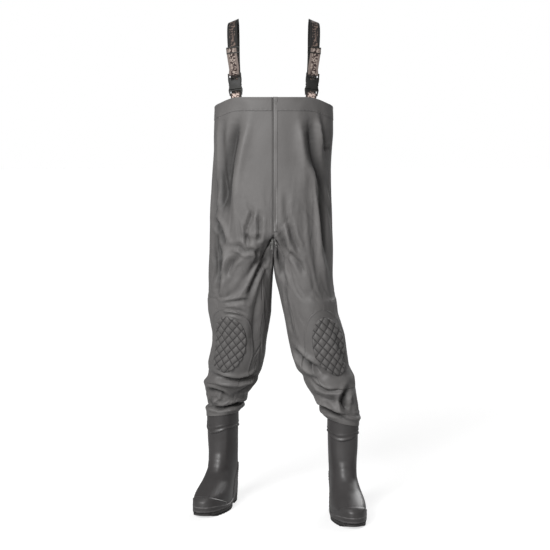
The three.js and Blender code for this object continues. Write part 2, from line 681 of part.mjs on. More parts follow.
/** Places along a line in the plane across the webbing: [y, z] pairs in the strap's frame. */
function stripPlaces(line) {
  return line.map(([y, z], i) => {
    const before = line[Math.max(i - 1, 0)];
    const after = line[Math.min(i + 1, line.length - 1)];
    const along = new THREE.Vector3(0, after[0] - before[0], after[1] - before[1]).normalize();
    const across = new THREE.Vector3(1, 0, 0);
    return { point: new THREE.Vector3(0, y, z), across, face: along.clone().cross(across) };
  });
}

function insertGeometry() {
  const width = BUCKLE_WIDTH - 2;
  const thickness = BUCKLE_BAR;
  const slotWidth = WEBBING_WIDTH + 2 * SLOT_CLEARANCE;
  const middle = INSERT_START + INSERT_LENGTH / 2;
  let solid = boxSolid(width, thickness, INSERT_LENGTH, 0, 0, middle);
  const slotHeight = INSERT_LENGTH - 2 * BUCKLE_BAR;
  solid = solid.subtract(boxSolid(slotWidth, 4 * thickness, slotHeight, 0, 0, middle));
  const tongue = PRONG_LENGTH - 4;
  const tongueBox = boxSolid(6, 3, tongue + 1, 0, 0, INSERT_START + INSERT_LENGTH + tongue / 2 - 0.5);
  return geometryOf(solid.add(tongueBox));
}

const MOUTH_DEPTH = BUCKLE_THICKNESS - 2 * BUCKLE_WALL;

/** A prong: a springy leg with a barb on its outer side, hinged where it leaves the frame. */
function prongGeometry(direction) {
  const base = INSERT_START + INSERT_LENGTH + PRONG_ROOT_GAP;
  const inner = -PRONG_WIDTH / 2;
  const outer = PRONG_WIDTH / 2;
  const outline = new THREE.Shape([
    new THREE.Vector2(inner, base),
    new THREE.Vector2(outer, base),
    new THREE.Vector2(outer, base + PRONG_LENGTH * 0.4),
    new THREE.Vector2(outer + PRONG_BARB, base + PRONG_LENGTH * 0.55),
    new THREE.Vector2(outer + PRONG_BARB, base + PRONG_LENGTH * 0.8),
    new THREE.Vector2(outer - 0.6, base + PRONG_LENGTH),
    new THREE.Vector2(inner + 0.8, base + PRONG_LENGTH),
  ]);
  const thickness = MOUTH_DEPTH - 2 * FIT_GAP;
  const leg = new THREE.ExtrudeGeometry(outline, { depth: thickness, bevelEnabled: false });
  leg.rotateX(Math.PI / 2).translate(0, thickness / 2, 0);
  if (direction < 0) leg.rotateZ(Math.PI);
  return leg.translate(direction * PRONG_PITCH, 0, 0);
}

function socketGeometry() {
  const end = SOCKET_START + SOCKET_LENGTH;
  const slotTop = end - BUCKLE_BAR;
  const bodyTop = slotTop - WEB_SLOT_HEIGHT;
  const windowMiddle = bodyTop - 3 - WINDOW_HEIGHT / 2;
  const through = 4 * BUCKLE_THICKNESS;
  let solid = boxSolid(BUCKLE_WIDTH, BUCKLE_THICKNESS, SOCKET_LENGTH, 0, 0, (SOCKET_START + end) / 2);
  const mouthTop = windowMiddle - WINDOW_HEIGHT / 2 - 1.5;
  const mouthHeight = mouthTop - SOCKET_START + 2;
  solid = solid.subtract(boxSolid(2 * BUCKLE_WIDTH, MOUTH_DEPTH, mouthHeight, 0, 0, mouthTop - mouthHeight / 2));
  const slotWidth = WEBBING_WIDTH + 2 * SLOT_CLEARANCE;
  solid = solid.subtract(boxSolid(slotWidth, through, WEB_SLOT_HEIGHT, 0, 0, (slotTop + bodyTop) / 2));
  for (const x of [-1, 1]) {
    const place = x * (WINDOW_WIDTH / 2 + 1.5);
    solid = solid.subtract(boxSolid(WINDOW_WIDTH, through, WINDOW_HEIGHT, place, 0, windowMiddle));
  }
  // The bar end is slimmer than the body, so that the webbing round it stays flush.
  const shaved = (BUCKLE_THICKNESS - BUCKLE_BAR) / 2;
  for (const y of [-1, 1]) {
    const place = y * (BUCKLE_THICKNESS / 2);
    solid = solid.subtract(boxSolid(slotWidth, 2 * shaved, 2 * BUCKLE_BAR, 0, place, end));
  }
  return geometryOf(solid);
}

/** The tri-glide: rails outside the webbing, two bars in front of it and one behind. */
function sliderGeometry() {
  const rails = [-1, 1].map((x) => {
    const place = x * (WEBBING_WIDTH / 2 + SLOT_CLEARANCE + SLIDER_RAIL / 2);
    return boxSolid(SLIDER_RAIL, 9, SLIDER_HEIGHT, place, plyMiddle(), SLIDER_PLACE);
  });
  const width = WEBBING_WIDTH + 2 * SLOT_CLEARANCE + SLIDER_RAIL;
  const stack = WEBBING_THICKNESS + FIT_GAP * 1.5;
  const barDepth = 4.5 - stack - FIT_GAP;
  const barPlace = stack + FIT_GAP + barDepth / 2;
  let solid = rails[0].add(rails[1]);
  for (const z of [-1, 1]) {
    const height = SLIDER_PLACE + (z * (SLIDER_HEIGHT - SLIDER_BAR)) / 2;
    solid = solid.add(boxSolid(width, barDepth, SLIDER_BAR, 0, plyMiddle() - barPlace, height));
  }
  return geometryOf(solid.add(boxSolid(width, barDepth, SLIDER_BAR, 0, plyMiddle() + barPlace, SLIDER_PLACE)));
}

// Webbing turns round a square bar in six flats, so its centre line clears the bar's corners.
const LOOP_FLATS = 6;
const PLY_OUT = (BUCKLE_BAR * Math.SQRT1_2 + FIT_GAP + WEBBING_THICKNESS / 2) / Math.cos(Math.PI / LOOP_FLATS / 2);

const LOOP_BACK_END = SOCKET_START + SOCKET_LENGTH + 2; // where the shoulder run meets the loop

/** The doubled webbing lies together above the buckle; this is the middle of the pair. */
function plyMiddle() {
  return PLY_OUT - WEBBING_THICKNESS / 2 - FIT_GAP / 2;
}

/** Webbing that comes down behind the socket's bar, turns round it and runs back up in front. */
function loopLine() {
  const barMiddle = SOCKET_START + SOCKET_LENGTH - BUCKLE_BAR / 2;
  const front = PLY_OUT - WEBBING_THICKNESS - FIT_GAP;
  const line = [[PLY_OUT, LOOP_BACK_END]];
  for (const angle of evenly(0, Math.PI, LOOP_FLATS)) {
    line.push([PLY_OUT * Math.cos(angle), barMiddle - PLY_OUT * Math.sin(angle)]);
  }
  line.push([-PLY_OUT, barMiddle + BUCKLE_BAR / 2 + 1]);
  line.push([front, barMiddle + 22]);
  line.push([front, TAIL_END]);
  return line;
}

/** Front tab, above the hem: round the insert's lower bar and back down behind itself. */
function tabLine() {
  const bar = INSERT_START + BUCKLE_BAR / 2;
  const besides = (WEBBING_THICKNESS + FIT_GAP) / 2;
  const line = [[-besides, 7], [-PLY_OUT, INSERT_START - 3]];
  for (const angle of evenly(0, Math.PI, LOOP_FLATS)) {
    line.push([-PLY_OUT * Math.cos(angle), bar + PLY_OUT * Math.sin(angle)]);
  }
  line.push([PLY_OUT, INSERT_START - 3]);
  line.push([besides + FIT_GAP, 7]);
  return line;
}

/** A place where webbing lies flat on the lining, at a drop below the hem. */
function liningPlace(side, turn, drop, along) {
  const { sign } = STANCE[side];
  const inset = -SHELL - 2 * LINING_GAP - ANCHOR_THICKNESS - WEBBING_THICKNESS / 2;
  const height = rowHeight(HEM_FRONT, turn) - drop;
  const after = garmentPoint(side, height, turn + 0.02);
  const across = after.sub(garmentPoint(side, height, turn - 0.02)).normalize().multiplyScalar(sign);
  if (across.x < 0) across.negate();
  return { point: garmentPoint(side, height, turn, inset), across, face: along.clone().cross(across) };
}

/** The whole front tab: flat on the lining, then up to the insert. */
function tabPlaces(side, group) {
  const up = new THREE.Vector3(0, 0, 1);
  const turn = turnAtX(side, HEM_FRONT, STRAP_FOOT_X);
  const lining = [ANCHOR_DEPTH, ANCHOR_DEPTH / 2, 3].map((drop) => liningPlace(side, turn, drop, up));
  const above = stripPlaces(tabLine()).map(({ point, across, face }) => ({
    point: point.applyMatrix4(group.matrix),
    across: across.transformDirection(group.matrix),
    face: face.transformDirection(group.matrix),
  }));
  return [...lining, ...above];
}

/** The shoulder run in the garment's frame: straight to the shoulder, then over it. */
function shoulderPlaces(side, group) {
  const start = LOOP_BACK_END + FIT_GAP;
  const runLength = Math.hypot(STRAP_LEAN_X, STRAP_LEAN_Y, STRAP_RUN_HEIGHT);
  const matrix = group.matrix;
  const straight = evenly(start, runLength, 4).map((z) => new THREE.Vector3(0, PLY_OUT, z).applyMatrix4(matrix));
  const axis = new THREE.Vector3().setFromMatrixColumn(matrix, 2);
  const across = new THREE.Vector3().setFromMatrixColumn(matrix, 0);
  const bend = straight.at(-1);
  const { sign } = STANCE[side];
  const top = new THREE.Vector3(bend.x - sign * 3, 0, HEM_FRONT + SHOULDER_RISE);
  const hold = bend.clone().addScaledVector(axis, (top.z - bend.z) * 0.75);
  const over = new THREE.QuadraticBezierCurve3(bend, new THREE.Vector3(hold.x, hold.y, top.z), top);
  const canted = new THREE.Vector3(sign, 0, 0)
    .applyAxisAngle(new THREE.Vector3(0, 1, 0), sign * THREE.MathUtils.degToRad(SHOULDER_CANT));
  const places = straight.map((point) => ({ point, across, face: axis.clone().cross(across) }));
  for (const share of evenly(0, 1, 6).slice(1)) {
    const along = share === 1 ? new THREE.Vector3(0, 1, 0) : over.getTangent(share);
    const wide = across.clone().lerp(canted.clone().multiplyScalar(sign), share);
    wide.addScaledVector(along, -wide.dot(along)).normalize();
    places.push({ point: over.getPoint(share), across: wide, face: along.clone().cross(wide) });
  }
  return places;
}

/** The back run: from the top of the shoulder down to the inside of the back hem. */
function backPlaces(side, top) {
  const backHem = HEM_FRONT - HEM_BACK_DROP;
  const footX = Math.abs(top.point.x) * 0.97;
  const turn = 1 - turnAtX(side, backHem, footX);
  const down = new THREE.Vector3(0, 0, -1);
  const hem = liningPlace(side, turn, 3, down).point;
  const low = liningPlace(side, turn, ANCHOR_DEPTH, down);
  const start = top.point.clone();
  start.y += FIT_GAP;
  const points = [
    start, new THREE.Vector3(top.point.x, 34, top.point.z - 9), new THREE.Vector3(top.point.x, 66, top.point.z - 48),
    new THREE.Vector3(top.point.x, 84, top.point.z - 110),
    hem.clone().lerp(new THREE.Vector3(top.point.x, 84, top.point.z - 110), 0.45), hem, low.point,
  ];
  const curve = new THREE.CatmullRomCurve3(points, false, 'centripetal');
  const flat = new THREE.Vector3(1, 0, 0);
  return evenly(0, 1, 11).map((share) => {
    const along = share === 0 ? new THREE.Vector3(0, 1, 0) : curve.getTangent(share);
    const level = THREE.MathUtils.smoothstep(share, 0, 0.45);
    const fade = THREE.MathUtils.smoothstep(share, 0.5, 0.8);
    const wide = top.across.clone().lerp(flat, level).lerp(low.across, fade);
    wide.addScaledVector(along, -wide.dot(along)).normalize();
    return { point: curve.getPoint(share), across: wide, face: along.clone().cross(wide) };
  });
}

/** A patch inside the hem that a strap end is sewn to. */
function addAnchor(name, side, turn) {
  const inner = -SHELL - LINING_GAP;
  const halfGirth = Math.PI * Math.sqrt((BODY_HALF_WIDTH ** 2 + BODY_HALF_DEPTH ** 2) / 2) * HEM_GIRTH_SHARE;
  const half = ANCHOR_WIDTH / 2 / halfGirth;
  const rows = evenly(HEM_FRONT - ANCHOR_DEPTH - 3, HEM_FRONT - 8, 2);
  const span = () => [turn - half, turn + half];
  const patch = layer(side, rows, span, 4, inner - ANCHOR_THICKNESS, inner, rowHeight);
  addPiece(name, 'patch', patch);
}

function addSuspender(side) {
  const group = strapGroup(side);
  addPiece(`${side}_front_tab`, 'webbing', webbing(tabPlaces(side, group)));
  addPiece(`${side}_buckle_insert`, 'buckle', insertGeometry(), group);
  const outerDirection = STANCE[side].sign;
  addPiece(`${side}_prong_outer`, 'buckle', prongGeometry(outerDirection), group);
  addPiece(`${side}_prong_inner`, 'buckle', prongGeometry(-outerDirection), group);
  addPiece(`${side}_buckle_socket`, 'buckle', socketGeometry(), group);
  addPiece(`${side}_strap_loop`, 'webbing', webbing(stripPlaces(loopLine())), group);
  addPiece(`${side}_slider`, 'buckle', sliderGeometry(), group);
  const shoulder = shoulderPlaces(side, group);
  addPiece(`${side}_front_strap`, 'webbing', webbing(shoulder, 3));
  addPiece(`${side}_back_strap`, 'webbing', webbing(backPlaces(side, shoulder.at(-1)), 3));
  addAnchor(`${side}_front_anchor`, side, turnAtX(side, HEM_FRONT, STRAP_FOOT_X));
  addAnchor(`${side}_back_anchor`, side, 1 - turnAtX(side, HEM_FRONT, STRAP_FOOT_X));
}

for (const side of ['left', 'right']) addBoot(side);
addBody();
for (const side of ['left', 'right']) addSuspender(side);

// ---------------------------------------------------------------- origin

waders.updateMatrixWorld(true);
const extent = new THREE.Box3().setFromObject(waders);
const centre = extent.getCenter(new THREE.Vector3());
waders.position.set(-centre.x, -centre.y, -extent.min.z);
waders.updateMatrixWorld(true);

export default waders;
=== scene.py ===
"""Chest waders with bonded boots and buckled suspenders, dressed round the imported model."""

import logging
import math
from dataclasses import dataclass
from enum import Enum
from typing import Callable, Sequence

import bmesh
import bpy
import numpy as np
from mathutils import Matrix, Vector


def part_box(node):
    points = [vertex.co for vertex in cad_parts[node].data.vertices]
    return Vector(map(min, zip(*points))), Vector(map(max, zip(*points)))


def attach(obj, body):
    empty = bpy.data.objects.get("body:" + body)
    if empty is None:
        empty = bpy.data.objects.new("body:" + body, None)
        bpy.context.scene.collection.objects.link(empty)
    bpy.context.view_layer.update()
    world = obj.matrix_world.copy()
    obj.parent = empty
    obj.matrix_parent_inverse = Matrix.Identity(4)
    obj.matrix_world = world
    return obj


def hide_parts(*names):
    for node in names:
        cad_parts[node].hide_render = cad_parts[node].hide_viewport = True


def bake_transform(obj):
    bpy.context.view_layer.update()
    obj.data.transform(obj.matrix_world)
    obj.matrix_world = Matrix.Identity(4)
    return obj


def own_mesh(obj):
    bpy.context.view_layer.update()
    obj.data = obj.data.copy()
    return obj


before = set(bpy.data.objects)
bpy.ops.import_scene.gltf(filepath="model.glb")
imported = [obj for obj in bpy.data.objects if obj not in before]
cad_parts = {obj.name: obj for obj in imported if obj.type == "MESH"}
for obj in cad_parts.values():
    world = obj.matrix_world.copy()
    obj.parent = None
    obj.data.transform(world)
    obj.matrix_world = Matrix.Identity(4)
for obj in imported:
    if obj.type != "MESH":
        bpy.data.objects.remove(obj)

log = logging.getLogger("waders")

Array = np.ndarray
Place = Callable[[Array, Array], Array]
Material = bpy.types.Material
Coats = dict[str, Material]
Lines = tuple[Array, Array, Array]
Mesh = bmesh.types.BMesh
Node = bpy.types.Node
Piece = bpy.types.Object
Pair = tuple[float, float]
Triple = tuple[float, float, float]
Shape = Callable[[float, float, float], Triple]

MM = 0.001
SEAM_SHIFT = np.array([sum(c.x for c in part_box("front_seam_tape")) / 2 / MM, 0.41, 0.0])

FORK = 750.0
HEM_FRONT = 1235.0
HEM_SIDE_DROP = 30.0
HEM_BACK_DROP = 43.0
LEG_END = 335.0
BOOT_TOP = 285.0
SHELL = 2.0
WEBBING_WIDTH = 0.03


# ---------------------------------------------------------------- small helpers


def smoothstep(value: Array, low: float | Array, high: float | Array) -> Array:
    """Share from 0 at low to 1 at high, with a smooth start and end."""
    share = np.clip((value - low) / (high - low), 0.0, 1.0)
    return share * share * (3.0 - 2.0 * share)


def bump(value: Array, centre: float | Array, width: float) -> Array:
    """A bell of height 1 about a centre."""
    return np.exp(-(((value - centre) / width) ** 2))


def power(value: Array, exponent: float) -> Array:
    """A power that keeps the sign."""
    return np.sign(value) * np.abs(value) ** exponent


@dataclass(frozen=True)
class Profile:
    """A table of values along a line, smoothed so that no station shows as a crease.

    Attributes:
        stations: rows of place and value.
        soften: how far the smoothing reaches, in the units of the place.
    """

    stations: tuple[Pair, ...]
    soften: float

    def at(self, place: Array) -> Array:
        """The smoothed values at the given places."""
        xs, ys = (np.array(column) for column in zip(*self.stations))
        taps = np.linspace(-2.0, 2.0, 9)
        weights = np.exp(-(taps**2) / 1.2)
        values = [np.interp(place + tap * self.soften, xs, ys) for tap in taps]
        return np.tensordot(weights / weights.sum(), np.array(values), 1)


def to_row(points: Array) -> Array:
    """Points about the centre seam in millimetres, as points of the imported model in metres."""
    return (points + SEAM_SHIFT) * MM


def stack(*columns: Array) -> Array:
    """Coordinates as one array of points."""
    return np.stack(np.broadcast_arrays(*columns), axis=-1)


def unit(vectors: Array) -> Array:
    """Vectors made one long."""
    return vectors / np.maximum(np.linalg.norm(vectors, axis=-1, keepdims=True), 1e-9)


class Make:
    """Turns bmesh grids into finished pieces."""

    @staticmethod
    def grid(columns: int, rows: int, place: Place, size: Pair = (1.0, 1.0)) -> Mesh:
        """A grid of faces whose vertices a function puts in place.

        Args:
            columns: faces across.
            rows: faces up.
            place: takes u and v from 0 to 1 and gives points in millimetres about the seam.
            size: what one unit of u and v is worth in the UV map.

        Returns:
            The bmesh, with a UV map.
        """
        mesh = bmesh.new()
        bmesh.ops.create_grid(mesh, x_segments=columns, y_segments=rows, size=0.5)
        flat = np.array([vertex.co for vertex in mesh.verts])
        spots = np.clip(flat[:, :2] + 0.5, 0.0, 1.0)
        layer = mesh.loops.layers.uv.new("UVMap")
        for face in mesh.faces:
            for loop in face.loops:
                u, v = spots[loop.vert.index]
                loop[layer].uv = (u * size[0], v * size[1])
        points = to_row(place(spots[:, 0], spots[:, 1]))
        for vertex, point in zip(mesh.verts, points):
            vertex.co = point
        return mesh

    @staticmethod
    def weld(mesh: Mesh, reach: float = 0.02 * MM) -> None:
        """Closes a grid's meeting edges."""
        bmesh.ops.remove_doubles(mesh, verts=mesh.verts[:], dist=reach)
        bmesh.ops.dissolve_degenerate(mesh, dist=reach, edges=mesh.edges[:])

    @staticmethod
    def cap(mesh: Mesh) -> None:
        """Fills the open ends of a tube and turns its faces outwards."""
        edges = [edge for edge in mesh.edges if edge.is_boundary]
        bmesh.ops.holes_fill(mesh, edges=edges, sides=0)
        bmesh.ops.recalc_face_normals(mesh, faces=mesh.faces[:])

    @staticmethod
    def flip(mesh: Mesh) -> None:
        """Turns every face over."""
        bmesh.ops.reverse_faces(mesh, faces=mesh.faces[:])

    @staticmethod
    def finish(
        mesh: Mesh, name: str, material: Material, smooth: bool = True
    ) -> Piece:
        """Makes an object of a bmesh.

        Args:
            mesh: the shape, which is freed.
            name: the piece's name.
            material: its finish.
            smooth: whether its faces are shaded smooth.

        Returns:
            The object, linked to the scene.
        """
        data = bpy.data.meshes.new(name)
        for face in mesh.faces:
            face.smooth = smooth
        mesh.to_mesh(data)
        mesh.free()
        piece = bpy.data.objects.new(name, data)
        bpy.context.scene.collection.objects.link(piece)
        data.materials.append(material)
        return piece

    @staticmethod
    def wall(piece: Piece, thickness: float, offset: float = -1.0) -> None:
        """Gives a sheet its thickness in millimetres."""
        modifier = piece.modifiers.new("wall", "SOLIDIFY")
        modifier.thickness = thickness * MM
        modifier.offset = offset
        modifier.use_even_offset = False

    @staticmethod
    def round_edges(piece: Piece, width: float, segments: int = 2) -> None:
        """Bevels a hard piece's edges."""
        modifier = piece.modifiers.new("edges", "BEVEL")
        modifier.width = width * MM
        modifier.segments = segments
        modifier.limit_method = "ANGLE"
        modifier.angle_limit = math.radians(35)
        modifier.harden_normals = False


def dress(piece: Piece, body: str, slot: str, *nodes: str) -> Piece:
    """Rides a piece on a body and hides the nodes that it stands for."""
    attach(piece, body)
    if nodes:
        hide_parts(*nodes)
    log.info("%s rides %s", piece.name, body)
    return piece


# ---------------------------------------------------------------- finishes


def srgb(red: float, green: float, blue: float) -> tuple[float, float, float, float]:
    """A colour given as it looks on a screen, 0 to 255, for a shader."""
    shares = (red / 255, green / 255, blue / 255)
    linear = [share / 12.92 if share <= 0.04 else ((share + 0.055) / 1.055) ** 2.4 for share in shares]
    return (*linear, 1.0)


class Graph:
    """Short names for building a node tree."""

    def __init__(self, tree: bpy.types.NodeTree) -> None:
        """Holds the tree."""
        self.tree = tree

    def node(self, kind: str, **inputs: object) -> Node:
        """Adds a node and sets its inputs; a socket among the values is linked."""
        made = self.tree.nodes.new(kind)
        for name, value in inputs.items():
            self.feed(made, name.replace("_", " "), value)
        return made

    def feed(self, node: Node, name: str, value: object) -> None:
        """Sets or links one input."""
        socket = next(s for s in node.inputs if s.name == name and s.enabled)
        if isinstance(value, bpy.types.NodeSocket):
            self.tree.links.new(value, socket)
        else:
            socket.default_value = value

    def math(self, operation: str, *values: object, clamp: bool = False) -> bpy.types.NodeSocket:
        """A Math node's result."""
        made = self.tree.nodes.new("ShaderNodeMath")
        made.operation = operation
        made.use_clamp = clamp
        for socket, value in zip(made.inputs, values):
            if isinstance(value, bpy.types.NodeSocket):
                self.tree.links.new(value, socket)
            else:
                socket.default_value = value
        return made.outputs[0]

    def mix(self, share: object, first: object, second: object, blend: str = "MIX") -> bpy.types.NodeSocket:
        """A colour mix's result."""
        made = self.tree.nodes.new("ShaderNodeMix")
        made.data_type = "RGBA"
        made.blend_type = blend
        for index, value in ((0, share), (6, first), (7, second)):
            if isinstance(value, bpy.types.NodeSocket):
                self.tree.links.new(value, made.inputs[index])
            else:
                made.inputs[index].default_value = value
        return made.outputs[2]

    def ramp(self, value: bpy.types.NodeSocket, low: float, high: float) -> bpy.types.NodeSocket:
        """A share that goes smoothly from 0 at low to 1 at high."""
        made = self.tree.nodes.new("ShaderNodeMapRange")
        made.interpolation_type = "SMOOTHSTEP"
        made.inputs["From Min"].default_value = low
        made.inputs["From Max"].default_value = high
        self.tree.links.new(value, made.inputs["Value"])
        return made.outputs["Result"]


def group(name: str, inputs: dict[str, float], outputs: Sequence[str]) -> tuple[Graph, dict, Node]:
    """Starts a node group that reads a vector and some numbers and gives some numbers.

    Args:
        name: the group's name.
        inputs: the numbers that it takes, with their usual values.
        outputs: the numbers that it gives.

    Returns:
        Its graph, its input sockets by name, and its output node.
    """
    tree = bpy.data.node_groups.new(name, "ShaderNodeTree")
    tree.interface.new_socket("Vector", in_out="INPUT", socket_type="NodeSocketVector")
    for label, value in inputs.items():
        socket = tree.interface.new_socket(label, in_out="INPUT", socket_type="NodeSocketFloat")
        socket.default_value = value
    for label in outputs:
        tree.interface.new_socket(label, in_out="OUTPUT", socket_type="NodeSocketFloat")
    graph = Graph(tree)
    start, end = graph.node("NodeGroupInput"), graph.node("NodeGroupOutput")
    return graph, {label: start.outputs[label] for label in ("Vector", *inputs)}, end


class Effects:
    """The node groups that several finishes share, each built once."""

    def __init__(self) -> None:
        """Builds the groups."""
        self.mottle = self._mottle()
        self.weave = self._weave()
        self.dust = self._dust()
        self.crumple = self._crumple()

    @staticmethod
    def _mottle() -> bpy.types.NodeTree:
        """Soft patches of lighter and darker, with fine grain."""
        graph, given, end = group("Mottle", {"Scale": 9.0, "Grain": 900.0}, ["Patches", "Grain"])
        where = given["Vector"]
        cloud = graph.node("ShaderNodeTexNoise", Vector=where, Scale=given["Scale"],
                           Detail=4.0, Roughness=0.55)
        fine = graph.node("ShaderNodeTexNoise", Vector=where, Scale=given["Grain"], Detail=2.0)
        graph.feed(end, "Patches", graph.ramp(cloud.outputs["Fac"], 0.3, 0.7))
        graph.feed(end, "Grain", fine.outputs["Fac"])
        return graph.tree

    @staticmethod
    def _weave() -> bpy.types.NodeTree:
        """Plain weave: crossing threads over the UV map, in metres."""
        graph, given, end = group("Weave", {"Threads": 900.0}, ["Height"])
        split = graph.node("ShaderNodeSeparateXYZ", Vector=given["Vector"])
        pace = graph.math("MULTIPLY", given["Threads"], math.tau)
        turns = [graph.math("MULTIPLY", split.outputs[axis], pace) for axis in ("X", "Y")]
        waves = [graph.math("SINE", turn) for turn in turns]
        crossed = graph.math("MULTIPLY", *waves)
        graph.feed(end, "Height", graph.math("MULTIPLY_ADD", crossed, 0.5, 0.5))
        return graph.tree

    @staticmethod
    def _crumple() -> bpy.types.NodeTree:
        """Crisp, irregular valleys, mostly running down the cloth."""
        graph, given, end = group("Crumple", {"Scale": 12.0}, ["Height"])
        stretched = graph.node("ShaderNodeMapping", Vector=given["Vector"], Scale=(1.0, 1.0, 0.5))
        heights = []
        for factor, weight in ((1.0, 1.0), (2.3, 0.35)):
            scale = graph.math("MULTIPLY", given["Scale"], factor)
            noise = graph.node("ShaderNodeTexNoise", Vector=stretched.outputs["Vector"], Scale=scale,
                               Detail=1.0, Distortion=0.7)
            off = graph.math("ABSOLUTE", graph.math("SUBTRACT", noise.outputs["Fac"], 0.5))
            heights.append(graph.math("MULTIPLY", graph.ramp(off, 0.0, 0.12), weight))
        graph.feed(end, "Height", graph.math("ADD", *heights))
        return graph.tree

    @staticmethod
    def _dust() -> bpy.types.NodeTree:
        """Edge wear and dust: a mask that is strong on convex edges and broken up by noise."""
        graph, given, end = group("Dust", {"Scale": 60.0}, ["Wear"])
        geometry = graph.node("ShaderNodeNewGeometry")
        edge = graph.ramp(geometry.outputs["Pointiness"], 0.5, 0.58)
        noise = graph.node("ShaderNodeTexNoise", Vector=given["Vector"], Scale=given["Scale"], Detail=5.0)
        broken = graph.ramp(noise.outputs["Fac"], 0.35, 0.7)
        graph.feed(end, "Wear", graph.math("MULTIPLY", edge, broken))
        return graph.tree


@dataclass(frozen=True)
class Finish:
    """A material of the object.

    Attributes:
        name: the material's name.
        dark: colour of its darker patches.
        light: colour of its lighter patches.
        roughness: lowest and highest roughness.
        grain: fine grain per metre, and the depth of its bump in millimetres.
        patch: size of the soft patches, per metre.
        sheen: cloth sheen.
        coat: a clear top layer.
        weave: threads per metre, or none.
        wear: colour of the worn edges, or none.
        specular: strength of its highlights, 0.5 being usual.
    """

    name: str
    dark: Triple = (0, 0, 0)
    light: Triple = (0, 0, 0)
    roughness: Pair = (0.5, 0.65)
    grain: Pair = (900.0, 0.02)
    patch: float = 9.0
    sheen: float = 0.0
    coat: float = 0.0
    weave: float = 0.0
    wear: Triple | None = None
    specular: float = 0.5

    def start(self) -> tuple[Material, Graph, Node, Node]:
        """The material, its graph, its shader and its coordinates."""
        material = bpy.data.materials.new(self.name)
        material.use_nodes = True
        graph = Graph(material.node_tree)
        shader = material.node_tree.nodes["Principled BSDF"]
        shader.inputs["Sheen Weight"].default_value = self.sheen
        shader.inputs["Coat Weight"].default_value = self.coat
        shader.inputs["Coat Roughness"].default_value = 0.25
        shader.inputs["Specular IOR Level"].default_value = self.specular
        return material, graph, shader, graph.node("ShaderNodeTexCoord")

    @staticmethod
    def reopen(material: Material) -> tuple[Graph, Node, bpy.types.NodeSocket]:
        """A built material's graph, its shader and the socket that colours it."""
        shader = material.node_tree.nodes["Principled BSDF"]
        return Graph(material.node_tree), shader, shader.inputs["Base Color"].links[0].from_socket

    def build(self, effects: Effects) -> Material:
        """The finished material."""
        material, graph, shader, where = self.start()
        mottle = graph.node("ShaderNodeGroup")
        mottle.node_tree = effects.mottle
        graph.feed(mottle, "Vector", where.outputs["Object"])
        graph.feed(mottle, "Scale", self.patch)
        graph.feed(mottle, "Grain", self.grain[0])
        colour = graph.mix(mottle.outputs["Patches"], srgb(*self.dark), srgb(*self.light))
        if self.wear:
            dust = graph.node("ShaderNodeGroup")
            dust.node_tree = effects.dust
            graph.feed(dust, "Vector", where.outputs["Object"])
            colour = graph.mix(dust.outputs["Wear"], colour, srgb(*self.wear))
        graph.feed(shader, "Base Color", colour)
        low, high = self.roughness
        rough = graph.math("MULTIPLY_ADD", mottle.outputs["Patches"], high - low, low)
        graph.feed(shader, "Roughness", rough)
        height = mottle.outputs["Grain"]
        if self.weave:
            weave = graph.node("ShaderNodeGroup")
            weave.node_tree = effects.weave
            graph.feed(weave, "Vector", where.outputs["UV"])
            graph.feed(weave, "Threads", self.weave)
            height = graph.math("ADD", height, weave.outputs["Height"])
        relief = graph.node("ShaderNodeBump", Height=height, Distance=self.grain[1] * MM, Strength=1.0)
        graph.feed(shader, "Normal", relief.outputs["Normal"])
        return material


@dataclass(frozen=True)
class PrintedWebbing(Finish):
    """Webbing with plain edges and a mottled print between them.

    Attributes:
        ground: colour of the print's ground.
        figure: colour of its blots.
        edge: colour of the plain edges.
        edge_share: how much of the width each edge takes.
        cover: where the ground ends and the blots begin, as noise values.
        blots: blots per metre.
    """

    ground: Triple = (38, 32, 30)
    figure: Triple = (150, 136, 126)
    edge: Triple = (22, 20, 19)
    edge_share: float = 0.16
    cover: Pair = (0.5, 0.56)
    blots: float = 150.0

    def build(self, effects: Effects) -> Material:
        """The finished material; U runs across the webbing and V along it, in metres."""
        material, graph, shader, where = self.start()
        split = graph.node("ShaderNodeSeparateXYZ", Vector=where.outputs["UV"])
        out = graph.math("ABSOLUTE", graph.math("SUBTRACT", split.outputs["X"], WEBBING_WIDTH / 2))
        plain = WEBBING_WIDTH / 2 - self.edge_share * WEBBING_WIDTH
        edge = graph.ramp(out, plain - 0.0012, plain)
        uv = where.outputs["UV"]
        blots = graph.node("ShaderNodeTexNoise", Vector=uv, Scale=self.blots, Detail=1.5, Distortion=0.5)
        flecks = graph.node("ShaderNodeTexNoise", Vector=uv, Scale=420.0, Detail=2.0)
        ragged = graph.math("SUBTRACT", flecks.outputs["Fac"], 0.5)
        shape = graph.math("MULTIPLY_ADD", ragged, 0.25, blots.outputs["Fac"])
        printed = graph.mix(graph.ramp(shape, *self.cover), srgb(*self.ground), srgb(*self.figure))
        colour = graph.mix(edge, printed, srgb(*self.edge))
        rib = graph.math("SINE", graph.math("MULTIPLY", split.outputs["Y"], math.tau * 620.0))
        ends = graph.math("SINE", graph.math("MULTIPLY", split.outputs["X"], math.tau * 800.0))
        height = graph.math("MULTIPLY_ADD", graph.math("MULTIPLY", rib, ends), 0.5, 0.5)
        shade = graph.math("MULTIPLY_ADD", height, 0.3, 0.8)
        tone = graph.node("ShaderNodeCombineColor", Red=shade, Green=shade, Blue=shade)
        graph.feed(shader, "Base Color", graph.mix(1.0, colour, tone.outputs["Color"], "MULTIPLY"))
        graph.feed(shader, "Roughness", graph.math("MULTIPLY_ADD", shape, 0.2, 0.7))
        relief = graph.node("ShaderNodeBump", Height=height, Distance=0.12 * MM, Strength=1.0)
        graph.feed(shader, "Normal", relief.outputs["Normal"])
        return material


